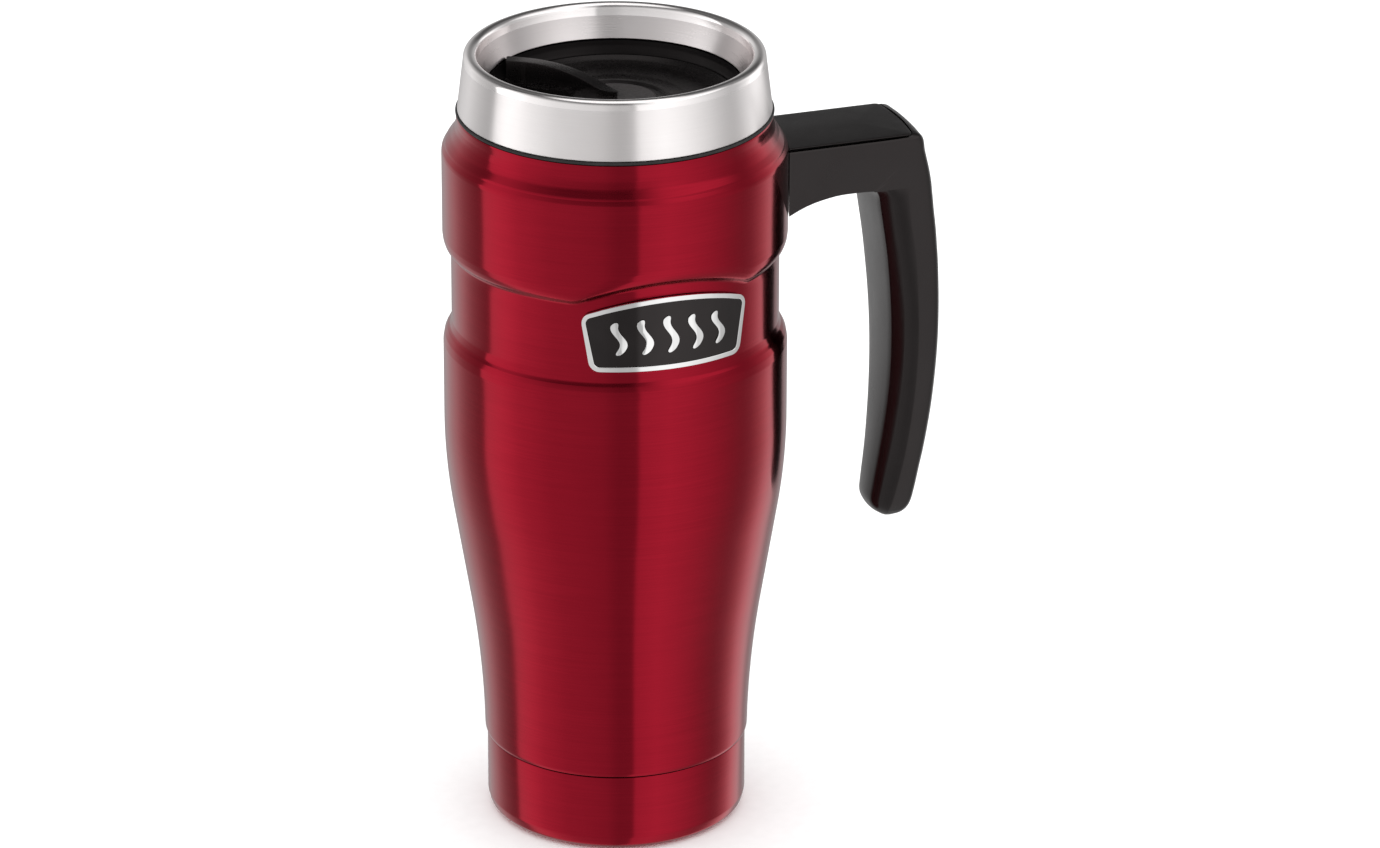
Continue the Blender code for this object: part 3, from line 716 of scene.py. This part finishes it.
def make_badge():
    def outline(inset):
        return badge_outline(inset, max(0.9, 2.8 - inset))

    border = plate("badge_border", [
        (outline(0.0), 0.0), (outline(0.0), 0.66), (outline(0.03), 0.71), (outline(0.09), 0.75),
        (outline(1.16), 0.75), (outline(1.22), 0.71), (outline(1.25), 0.66), (outline(1.25), 0.30)])
    finish_piece(wrapped(border), "mug", SILVER, "badge_plate")
    inlay = plate("badge_inlay", [
        (outline(1.29), 0.36), (outline(1.29), 0.56), (outline(1.32), 0.58)])
    finish_piece(wrapped(inlay), "mug", ENAMEL, "badge_field")
    for index in range(STEAM_COUNT):
        make_steam_mark(index)


def make_steam_mark(index):
    """One raised steam line on the badge, with rounded ends."""
    place = index - (STEAM_COUNT - 1) // 2
    middle = place * STEAM_PITCH
    height = 9.6 - 0.5 * abs(place)
    centre = STEAM_MIDDLE - 0.25 * abs(place)
    left, right = [], []
    steps = 44
    for i in range(steps + 1):
        part = 0.5 - 0.5 * math.cos(math.pi * i / steps)
        up = centre + (part - 0.5) * height
        across = middle + 1.15 * math.sin(part * math.tau * 0.95 - 0.3)
        room = min(part, 1.0 - part) * height
        half = 0.9 * math.sqrt(max(0.0, 1.0 - (1.0 - min(1.0, room / 1.1)) ** 2)) + 0.02
        left.append((across - half, up))
        right.append((across + half, up))
    rings = []
    for inset, out in ((0.0, 0.64), (0.0, 0.83), (0.03, 0.87), (0.08, 0.88)):
        near, far = [], []
        for (lx, lz), (rx, rz) in zip(left, right):
            give = min(inset, 0.45 * (rx - lx))
            near.append((lx + give, lz))
            far.append((rx - give, rz))
        rings.append((near + far[::-1], out))
    mark = plate("steam_line_%d" % (index + 1), rings)
    finish_piece(wrapped(mark), "mug", SILVER, "steam_mark_%d" % (index + 1))


# ---------------------------------------------------------------- handle

# The bore that clears the body, then sizes of the arm, the grip's crown and the cap.
BODY_ROOM = 43.25
HALF_WIDTH = 12.9
ARM_TOP = 175.72
CROWN = 0.5
CAP_START = 36.0
CAP_END = 75.1
CAP_HALF_WIDTH = 12.0
CAP_BOW = 1.0
SCREW_PLACES = (50.0, 57.0)

# Sections along the arm: outer x and height, inner x and height.
ARM_STATIONS = [
    (38.0, ARM_TOP, 38.0, 156.6), (46.0, ARM_TOP, 46.0, 160.4), (54.0, ARM_TOP, 53.5, 162.1),
    (62.0, ARM_TOP, 59.5, 162.3), (69.0, ARM_TOP, 62.6, 162.2), (73.0, ARM_TOP + 0.05, 63.3, 162.15),
    (75.3, ARM_TOP, 63.6, 162.12), (76.55, 175.2, 63.7, 162.11), (77.2, 174.4, 63.75, 162.1),
    (77.5, 173.2, 63.78, 162.08), (77.7, 171.6, 63.8, 162.06), (78.15, 169.6, 63.86, 162.04),
    (79.0, 166.0, 63.88, 162.02), (79.6, 162.6, 63.9, 162.0)]

# Sections down the grip: outer x and height, inner x and height, half width, half width of the
# inner face, depth and half width where the facets meet, depth where the side face starts.
GRIP_STATIONS = [
    (79.65, 162.2, 63.9, 161.9, 12.9, 9.3, 3.2, 11.7, 8.9),
    (79.75, 161.2, 65.0, 161.0, 12.9, 9.3, 3.1, 11.7, 8.0),
    (79.85, 160.2, 65.7, 160.0, 12.9, 9.3, 3.0, 11.7, 7.4),
    (80.05, 158.4, 66.3, 158.4, 12.9, 9.3, 3.0, 11.75, 7.0),
    (80.4, 155.0, 66.8, 155.0, 12.9, 9.3, 3.0, 11.75, 6.83),
    (81.0, 150.0, 67.57, 150.0, 12.9, 9.3, 3.05, 11.75, 6.72),
    (81.42, 145.0, 68.32, 145.0, 12.9, 9.25, 3.1, 11.8, 6.78),
    (81.77, 140.0, 68.93, 140.0, 12.9, 9.15, 3.15, 11.8, 6.70),
    (82.15, 130.0, 69.84, 130.0, 12.8, 8.75, 3.2, 11.6, 6.36),
    (82.2, 120.0, 70.34, 120.0, 12.4, 8.25, 3.0, 11.15, 6.2),
    (81.88, 110.0, 70.33, 110.0, 11.6, 7.65, 2.9, 10.4, 6.1),
    (81.2, 100.0, 69.79, 100.0, 10.6, 6.8, 2.7, 9.35, 6.05),
    (80.05, 90.0, 68.83, 90.0, 9.45, 5.8, 2.45, 8.1, 5.95),
    (79.1, 84.0, 68.08, 84.0, 8.75, 5.3, 2.2, 7.35, 5.7),
    (78.1, 78.0, 67.25, 78.0, 8.1, 4.9, 1.95, 6.8, 5.35),
    (77.1, 73.6, 66.9, 74.3, 7.4, 4.55, 1.8, 6.2, 4.8),
    (75.5, 71.2, 67.8, 71.9, 6.3, 3.85, 1.35, 5.2, 3.4),
    (73.4, 69.9, 69.6, 70.3, 4.4, 2.7, 0.9, 3.6, 1.7)]


def spine_rows(depth, start, half):
    """The side face and the rounded outer edge, as (depth, distance from the middle)."""
    size = min(1.0, half / 8.5)
    first = depth - 2.0 * size
    rows = []
    for k in (0.3, 0.65):
        rows.append((start + (first - start) * k, half + 0.02 - 0.06 * k * k))
    for back, down in (
            (2.0, 0.05), (1.4, 0.17), (0.85, 0.40), (0.42, 0.74), (0.10, 1.20), (-0.07, 1.80)):
        rows.append((depth - back * size, half - down * size))
    for rise, part in ((0.22, 0.68), (0.40, 0.45), (0.48, 0.2), (0.5, 0.0)):
        rows.append((depth + rise, half * part))
    return rows


def section_ring(outer, inner, rows):
    """A ring in the plane from the inner to the outer point, from rows of (depth, distance)."""
    ox, oz = outer
    ix, iz = inner
    depth = math.hypot(ox - ix, oz - iz)
    ux = (ox - ix) / depth
    uz = (oz - iz) / depth
    side = [(ix + ux * reach, -across, iz + uz * reach) for reach, across in rows]
    other = [(x, -y, z) for x, y, z in reversed(side[1:-1])]
    return side + other


def arm_section(ox, oz, ix, iz):
    """The arm: square below, with a rounded upper or outer edge."""
    half = HALF_WIDTH
    depth = math.hypot(ox - ix, oz - iz)
    rows = [(0.0, 0.0), (0.0, half * 0.3), (0.0, half * 0.6), (0.0, half * 0.85), (0.0, half - 1.0)]
    for reach, down in ((0.0, 0.45), (0.04, 0.22), (0.13, 0.08), (0.28, 0.01), (0.5, 0.0)):
        rows.append((reach, half - down))
    rows += [(1.2, half), (2.0, half)]
    return section_ring((ox, oz), (ix, iz), rows + spine_rows(depth, 2.0, half))


def grip_section(ox, oz, ix, iz, half, edge, facet_depth, facet_side, side_depth):
    """The grip: a crowned inner face, two facets and the side face."""
    depth = math.hypot(ox - ix, oz - iz)
    rows = []
    for rise, part in ((0.0, 0.0), (0.12, 0.35), (0.45, 0.7), (0.86, 0.96)):
        rows.append((CROWN * rise, part * edge))
    rows.append((CROWN + 0.06, edge + 0.04))
    for k in (0.09, 0.5, 0.91):
        bulge = 0.05 * math.sin(math.pi * k)
        rows.append((
            CROWN + (facet_depth - CROWN) * k - bulge, edge + (facet_side - edge) * k + bulge))
    for k in (0.05, 0.5, 0.95):
        bulge = 0.10 * math.sin(math.pi * k)
        reach = facet_depth + (side_depth - facet_depth) * k
        rows.append((reach, facet_side + (half - facet_side) * k + bulge))
    rows.append((side_depth + 0.15, half + 0.01))
    return section_ring((ox, oz), (ix, iz), rows + spine_rows(depth, side_depth + 0.15, half))


def cap_outline(inset):
    """The top cover's outline from above, with a bowed outer end and rounded corners."""
    half = CAP_HALF_WIDTH - inset
    corner = max(0.3, 1.4 - inset)
    line = [(CAP_START, -half)]
    for k in range(-20, 21):
        part = math.sin(math.pi / 2 * k / 20)
        across = half * part
        past = max(0.0, abs(across) - (half - corner))
        round_off = corner - math.sqrt(max(0.0, corner * corner - past * past))
        line.append((CAP_END - inset - CAP_BOW * (across / CAP_HALF_WIDTH) ** 2 - round_off, across))
    return line + [(CAP_START, half)]


def make_handle_frame():
    rings = [arm_section(*station) for station in curve(ARM_STATIONS, 4)]
    rings += [grip_section(*station) for station in curve(GRIP_STATIONS, 4)]
    piece = loft("handle_grip_and_arm", rings)
    cuts = [
        cylinder("body_room", BODY_ROOM, 150.0, 182.0, segments=FINE),
        cylinder("plate_room", 44.5, 161.6, 173.5, segments=FINE),
        block("tongue_room", (40.0, -6.4, 164.6), (61.4, 6.4, 169.4)),
        plate("cap_room", [(cap_outline(-0.3), 174.95), (cap_outline(-0.3), 184.0)])]
    limit = block("plate_limit", (40.0, -8.4, 150.0), (50.0, 8.4, 182.0))
    combine(cuts[1], [limit], "INTERSECT")
    for middle in SCREW_PLACES:
        cuts.append(cylinder("shaft_room", 1.75, 168.0, 175.0, x=middle, segments=32))
        cuts.append(cylinder("head_room", 3.1, 171.6, 175.5, x=middle, segments=32))
    combine(piece, cuts, "DIFFERENCE")
    smooth(piece, 24.0)
    finish_piece(piece, "mug", HANDLE_PLASTIC, "handle_frame")


def make_handle_cap():
    """The top cover in its recess: undercut sides, a fine edge and a slightly crowned top."""
    loops = [
        (0.62, 175.25), (0.60, 175.35), (0.04, 175.72), (0.0, 175.78), (0.0, 175.84), (0.06, 175.91),
        (0.22, 175.95)]
    for inset in (1.0, 2.2, 3.8, 5.8, 8.0, 10.0, 11.4):
        loops.append((inset, 175.95 + 0.28 * (1.0 - ((12.0 - inset) / 11.78) ** 2)))
    cap = plate("handle_top_cover", [(cap_outline(inset), height) for inset, height in loops])
    combine(cap, [cylinder("body_room", BODY_ROOM, 170.0, 182.0, segments=FINE)], "DIFFERENCE")
    smooth(cap, 30.0)
    finish_piece(cap, "mug", CAP_PLASTIC, "handle_cap")


# ---------------------------------------------------------------- lid

# The well is the sector cut from the dial, in degrees; the hub is the dial's raised middle.
DRINK_HOLE_OFFSET = 23.5
DIAL_RADIUS = 30.0
WELL_START = 137.0
WELL_END = 236.0
HUB_RADIUS = 10.4
ROLLED_RIM_FOOT = 200.75


def make_lid_ring():
    """The steel skirt, the rolled rim and the funnel inside it."""
    cx, cz, radius = 35.64, 201.262, 1.71
    outside = arc(cx, cz, radius, 168, 6, 18)
    outside += rounded([
        (37.42, 200.6), (38.56, 191.1, 2.5), (38.92, 188.35, 0.3), (38.86, 188.1, 0.12),
        (38.25, 188.1)])
    inside = [(37.85, 191.10), (36.60, 200.90)] + arc(cx, cz, 1.05, 40, 150, 8)
    funnel = rounded([
        (33.9, 199.5), (32.25, 194.9, 0.15), (31.95, 194.6, 0.15), (31.46, 194.65, 0.1),
        (31.62, 195.05, 0.3), (33.7, 200.0)])
    ring = turned("lid_rim_steel", outside + inside + funnel, FINE, 30.0)
    finish_piece(ring, "lid", RIM_STEEL, "lid_ring")
    ring.data.materials.append(POLISHED_STEEL)
    ring.data.materials.append(SHADED_FUNNEL_STEEL)
    for face in ring.data.polygons:
        if face.center.z > ROLLED_RIM_FOOT * MM:
            face.material_index = 1
        # Faces turned towards the axis get the darker funnel steel, a painted shade.
        elif face.normal.x * face.center.x + face.normal.y * face.center.y < 0:
            face.material_index = 2


def make_lid_body():
    outside = rounded([
        (36.10, 200.30), (37.60, 190.40), (37.90, 188.20), (35.60, 188.20), (35.10, 187.60, 0.4),
        (35.10, 184.60, 0.4), (33.90, 183.60, 0.4), (33.90, 170.70), (31.30, 170.70)])
    inside = rounded([
        (31.30, 184.20), (2.60, 184.20), (2.60, 187.00), (30.25, 187.00, 0.3), (30.25, 191.05, 0.06),
        (30.60, 191.55, 2.0), (31.20, 192.90, 2.0), (31.45, 194.20), (32.40, 194.20),
        (32.60, 195.00), (34.90, 200.00), (36.10, 200.30)])
    lid = turned("lid_bowl_and_plug", outside + inside[:-1], MEDIUM)
    ridges = [helix_ridge("lid_ridge", 33.65, 35.05, 171.9, start) for start in (0.0, 180.0)]
    spout = cylinder("spout", 5.7, 171.0, 185.0, y=-DRINK_HOLE_OFFSET)
    combine(lid, ridges + [spout], "UNION")
    combine(lid, [cylinder("drink_hole", 4.2, 165.0, 190.0, y=-DRINK_HOLE_OFFSET)], "DIFFERENCE")
    smooth(lid, 32.0)
    finish_piece(lid, "lid", LID_PLASTIC, "lid_body")


def make_lid_seals():
    gasket = turned("neck_seal", rounded([
        (39.10, 187.95, 0.1), (39.42, 187.65, 0.2), (39.25, 187.25, 0.15), (36.30, 187.25, 0.1),
        (35.60, 187.60, 0.1), (35.60, 187.95, 0.1)], closed=True), FINE)
    finish_piece(gasket, "lid_lift", SILICONE, "neck_gasket")
    seal = turned("plug_lip_seal", rounded([
        (33.90, 170.40, 0.15), (34.10, 169.50, 0.5), (33.70, 168.80, 0.3), (31.45, 168.80, 0.1),
        (31.45, 170.40, 0.1)], closed=True), MEDIUM)
    finish_piece(seal, "lid", SILICONE, "plug_seal")
    cover = turned("plug_cover", rounded([
        (0.0, 168.60), (29.90, 168.60, 0.3), (29.90, 170.40), (31.10, 170.40), (31.10, 168.50, 0.1),
        (32.80, 168.50, 0.15), (32.60, 167.30, 0.4), (30.0, 167.30, 0.2), (29.6, 167.55, 0.2),
        (28.9, 167.55, 0.2), (28.5, 167.30, 0.2), (0.0, 167.30)]), MEDIUM)
    combine(cover, [cylinder("drink_hole", 4.5, 160.0, 175.0, y=-DRINK_HOLE_OFFSET)], "DIFFERENCE")
    smooth(cover, 30.0)
    finish_piece(cover, "lid", LID_PLASTIC, "lid_lower_cover")


def fin_line():
    """Middle line of the thumb fin from the hub to the wall, as (x, y, top height)."""
    return curve([
        (0.9, 1.3, 191.5), (-0.5, 3.0, 191.7), (-1.95, 5.1, 192.1), (-3.2, 7.6, 192.7),
        (-6.0, 12.3, 193.6), (-9.8, 16.7, 194.4), (-14.6, 20.2, 195.0), (-20.6, 22.7, 195.5)], 6)


def make_drink_dial():
    """Turning disc with a raised ring, a cut-away sector and a thumb fin."""
    dial = turned("dial_with_fin", rounded([
        (0.0, 190.42), (1.6, 190.46, 0.4), (3.4, 190.50, 0.5), (10.30, 190.50, 0.3),
        (10.80, 189.80, 0.25), (12.60, 189.80, 0.25), (13.00, 190.30, 0.2), (14.00, 190.30, 0.4),
        (18.50, 189.75, 5.0), (26.00, 189.60, 9.0), (28.80, 190.1, 5.0), (29.95, 190.95, 0.06),
        (DIAL_RADIUS, 190.8), (DIAL_RADIUS, 187.50), (0.0, 187.50)]), MEDIUM)
    outline = []
    steps = 40
    for i in range(steps + 1):
        angle = math.radians(WELL_START + (WELL_END - WELL_START) * i / steps)
        outline.append((33.0 * math.cos(angle), 33.0 * math.sin(angle)))
    for i in range(steps + 1):
        angle = math.radians(WELL_END - (WELL_END - WELL_START) * i / steps)
        corner = (11.4 * math.cos(angle), 11.4 * math.sin(angle))
        outline.append(corner + (1.2,) if i in (0, steps) else corner)
    outline = rounded(outline, closed=True)
    well = plate("well", [(outline, 180.0), (outline, 200.0)])
    screw_hole = cylinder("screw_hole", 1.7, 180.0, 189.9, segments=32)
    pad_room = cylinder("pad_room", 6.2, 180.0, 188.2, y=-DRINK_HOLE_OFFSET)
    combine(dial, [well, screw_hole, pad_room], "DIFFERENCE")
    rings = []
    line = fin_line()
    for i, (x, y, top) in enumerate(line):
        bx, by, _ = line[max(0, i - 1)]
        nx, ny, _ = line[min(len(line) - 1, i + 1)]
        length = math.hypot(nx - bx, ny - by)
        sx = -(ny - by) / length
        sy = (nx - bx) / length
        half = 0.45 + 1.3 * min(1.0, i / 10.0) ** 0.6
        low = 190.0 if i < 12 else 188.4
        rows = [
            (1.0, low), (1.0, top - 0.22), (0.975, top - 0.10), (0.91, top - 0.02), (0.6, top),
            (0.2, top)]
        side = [(x + sx * half * k, y + sy * half * k, z) for k, z in rows]
        other = [(x - sx * half * k, y - sy * half * k, z) for k, z in reversed(rows)]
        rings.append(side + other)
    room = turned("fin_room", [
        (0.0, 186.0), (29.95, 186.0), (29.95, 191.1), (30.3, 191.6), (30.9, 193.0), (31.1, 194.3),
        (31.1, 197.0), (0.0, 197.0)])
    combine(dial, [combine(loft("fin", rings), [room], "INTERSECT")], "UNION")
    smooth(dial, 30.0)
    finish_piece(dial, "dial", DIAL_PLASTIC, "drink_dial")
    dial.data.materials.append(HUB_PLASTIC)
    for face in dial.data.polygons:
        flat = face.normal.z > 0.9 and 190.3 * MM < face.center.z < 190.55 * MM
        if flat and math.hypot(face.center.x, face.center.y) < HUB_RADIUS * MM:
            face.material_index = 1


def make_dial_pad():
    rings = []
    for radius, height in (
            (5.62, 187.20), (5.75, 187.26), (5.80, 187.40), (5.80, 187.78), (5.74, 187.90),
            (5.60, 187.95)):
        circle = arc(0.0, -DRINK_HOLE_OFFSET, radius, 0.0, 360.0, 64)[:-1]
        rings.append([(x, y, height) for x, y in circle])
    pad = loft("drink_hole_pad", rings)
    smooth(pad, 40.0)
    finish_piece(pad, "dial", PAD_SILICONE, "dial_pad")


def dress_hidden_nodes():
    """Materials for the CAD pieces that are kept as they are."""
    kept = {
        "foil_shield": FOIL, "vacuum_plate": HIDDEN_STEEL, "seal_plug": HIDDEN_STEEL,
        "getter_puck": GETTER_METAL, "handle_bracket": HIDDEN_STEEL, "handle_screw_inner": SCREW_STEEL,
        "handle_screw_outer": SCREW_STEEL, "dial_washer": SCREW_STEEL, "dial_screw": SCREW_STEEL}
    for name, material in kept.items():
        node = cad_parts[name]
        if not node.material_slots:
            node.data.materials.append(material)
        for holder in node.material_slots:
            holder.material = material


make_outer_shell()
make_base_cup()
make_inner_liner()
make_badge()
make_handle_frame()
make_handle_cap()
make_lid_ring()
make_lid_body()
make_lid_seals()
make_drink_dial()
make_dial_pad()
dress_hidden_nodes()


# ---------------------------------------------------------------- studio

FLOOR_SIZE = 30.0


def make_floor():
    """A pale floor that never shows in reflections."""
    size = FLOOR_SIZE
    corners = [(-size, -size, 0), (size, -size, 0), (size, size, 0), (-size, size, 0)]
    mesh = bpy.data.meshes.new("studio_floor")
    mesh.from_pydata(corners, [], [(0, 1, 2, 3)])
    floor = add_object("studio_floor", mesh)
    m = Maker("studio_paper")
    fibre = m.noise(m.even(300.0), detail=3.0)
    shade = m.range(fibre, 0.3, 0.7, 0.0, 1.0)
    m.set(Base_Color=m.mix(shade, (0.93, 0.93, 0.93, 1), (0.955, 0.955, 0.955, 1)))
    m.set(Roughness=0.9)
    m.shader.inputs["Specular IOR Level"].default_value = 0.0
    mesh.materials.append(m.material)
    floor.visible_glossy = False


# The studio's panels round the horizon: degrees from the front (to the right positive), brightness,
# and the height in degrees at which they have faded out.
STUDIO_BANDS = [
    (-180, 0.44, 32), (-165, 0.50, 34), (-152, 0.74, 38), (-134, 0.88, 38), (-118, 0.62, 42),
    (-104, 0.48, 52), (-98.5, 0.48, 58), (-97, 1.42, 58), (-84, 1.46, 58), (-75, 1.33, 58),
    (-67, 1.13, 58), (-59, 1.05, 58), (-44, 0.87, 58), (-30, 0.82, 58), (-17, 0.76, 58),
    (-8, 0.71, 58), (-2, 0.61, 58), (3, 0.55, 58), (15, 0.56, 58), (17.5, 1.09, 58),
    (23, 1.15, 58), (37, 1.27, 58), (52, 1.13, 58), (67, 0.93, 58), (84, 0.67, 58),
    (95, 0.54, 58), (103, 0.58, 56), (114, 0.90, 46), (126, 1.40, 30), (140, 1.18, 25),
    (150, 0.50, 24), (180, 0.44, 32)]
BAND_TOP = 1.6
OVERHEAD = (0.544, -0.451, 0.707)
WHITE_LEVEL = 1.45

# The front of the studio is where the camera stands: its right-hand and towards directions.
STUDIO_RIGHT = (0.942, -0.336)
STUDIO_FRONT = (-0.336, -0.942)


def make_world():
    """White all round, with broad soft panels and dark gaps that only show in reflections."""
    world = bpy.data.worlds.new("studio")
    bpy.context.scene.world = world
    world.use_nodes = True
    tree = Nodes(world.node_tree)
    node = tree.node
    calc = tree.math

    def step(*numbers):
        return tree.range(*numbers, interpolation_type="SMOOTHSTEP")

    direction = node("TexCoord").outputs["Generated"]
    split = node("SeparateXYZ")
    tree.link(direction, split.inputs[0])
    x, y, z = split.outputs
    across, towards = [
        calc("ADD", calc("MULTIPLY", x, along[0]), calc("MULTIPLY", y, along[1]))
        for along in (STUDIO_RIGHT, STUDIO_FRONT)]
    part = calc("ADD", calc("DIVIDE", calc("ARCTAN2", across, towards), math.tau), 0.5)
    ramp = node("ValToRGB")
    tree.link(part, ramp.inputs[0])
    stops = ramp.color_ramp.elements
    while len(stops) > 1:
        stops.remove(stops[-1])
    for i, (degrees, level, reach) in enumerate(STUDIO_BANDS):
        place = (degrees + 180.0) / 360.0
        stop = stops[0] if i == 0 else stops.new(place)
        stop.position = place
        stop.color = (level / BAND_TOP, reach / 90.0, 0, 1)
    band = node("SeparateColor")
    tree.link(ramp.outputs["Color"], band.inputs[0])
    height = calc("DIVIDE", calc("ARCTAN2", z, tree.length(x, y)), math.pi / 2)
    start = calc("MULTIPLY", calc("SUBTRACT", band.outputs["Green"], 0.15), 0.40)
    fade = step(height, start, band.outputs["Green"], 1.0, 0.18)
    level = calc("MULTIPLY", band.outputs["Red"], calc("MULTIPLY", fade, BAND_TOP))
    facing = node("VectorMath", operation="DOT_PRODUCT")
    tree.link(direction, facing.inputs[0])
    facing.inputs[1].default_value = OVERHEAD
    near_panel = step(facing.outputs["Value"], 0.79, 0.98, 0.0, 1.0)
    panel = calc("MULTIPLY", near_panel, step(height, 0.27, 0.43, 0.0, 1.0))
    level = calc("ADD", level, panel)
    ceiling = step(z, 0.87, 0.96, 0.0, 1.1)
    level = calc("ADD", level, ceiling)
    plain = node("Background")
    plain.inputs["Color"].default_value = (1, 1, 1, 1)
    plain.inputs["Strength"].default_value = WHITE_LEVEL
    bands = node("Background")
    tree.link(tree.grey(level), bands.inputs["Color"])
    choose = node("MixShader")
    tree.link(node("LightPath").outputs["Is Glossy Ray"], choose.inputs["Fac"])
    tree.link(plain.outputs[0], choose.inputs[1])
    tree.link(bands.outputs[0], choose.inputs[2])
    output = node("OutputWorld")
    tree.link(choose.outputs[0], output.inputs["Surface"])
    world.cycles.sampling_method = "NONE"


CAMERA_PLACE = (-0.55797, -1.62047, 0.81995)
CAMERA_FORWARD = (0.30985, 0.86900, -0.38578)
CAMERA_ROLL = 0.00203
LENS_LENGTH = 193.2


def make_camera():
    """A long lens, a little above the mug and to the left of the badge."""
    place = Vector(CAMERA_PLACE)
    forward = Vector(CAMERA_FORWARD).normalized()
    level = Vector((CAMERA_FORWARD[1], -CAMERA_FORWARD[0], 0.0)).normalized()
    up = level.cross(forward)
    right = math.cos(CAMERA_ROLL) * level + math.sin(CAMERA_ROLL) * up
    upright = -math.sin(CAMERA_ROLL) * level + math.cos(CAMERA_ROLL) * up
    lens = bpy.data.cameras.new("camera")
    lens.sensor_width = 36.0
    lens.lens = LENS_LENGTH
    lens.clip_start = 0.1
    lens.clip_end = 100.0
    camera = add_object("camera", lens)
    camera.matrix_world = Matrix((
        (right.x, upright.x, -forward.x, place.x), (right.y, upright.y, -forward.y, place.y),
        (right.z, upright.z, -forward.z, place.z), (0, 0, 0, 1)))
    bpy.context.scene.camera = camera


make_floor()
make_world()
make_camera()
bpy.context.scene.view_settings.view_transform = "Standard"
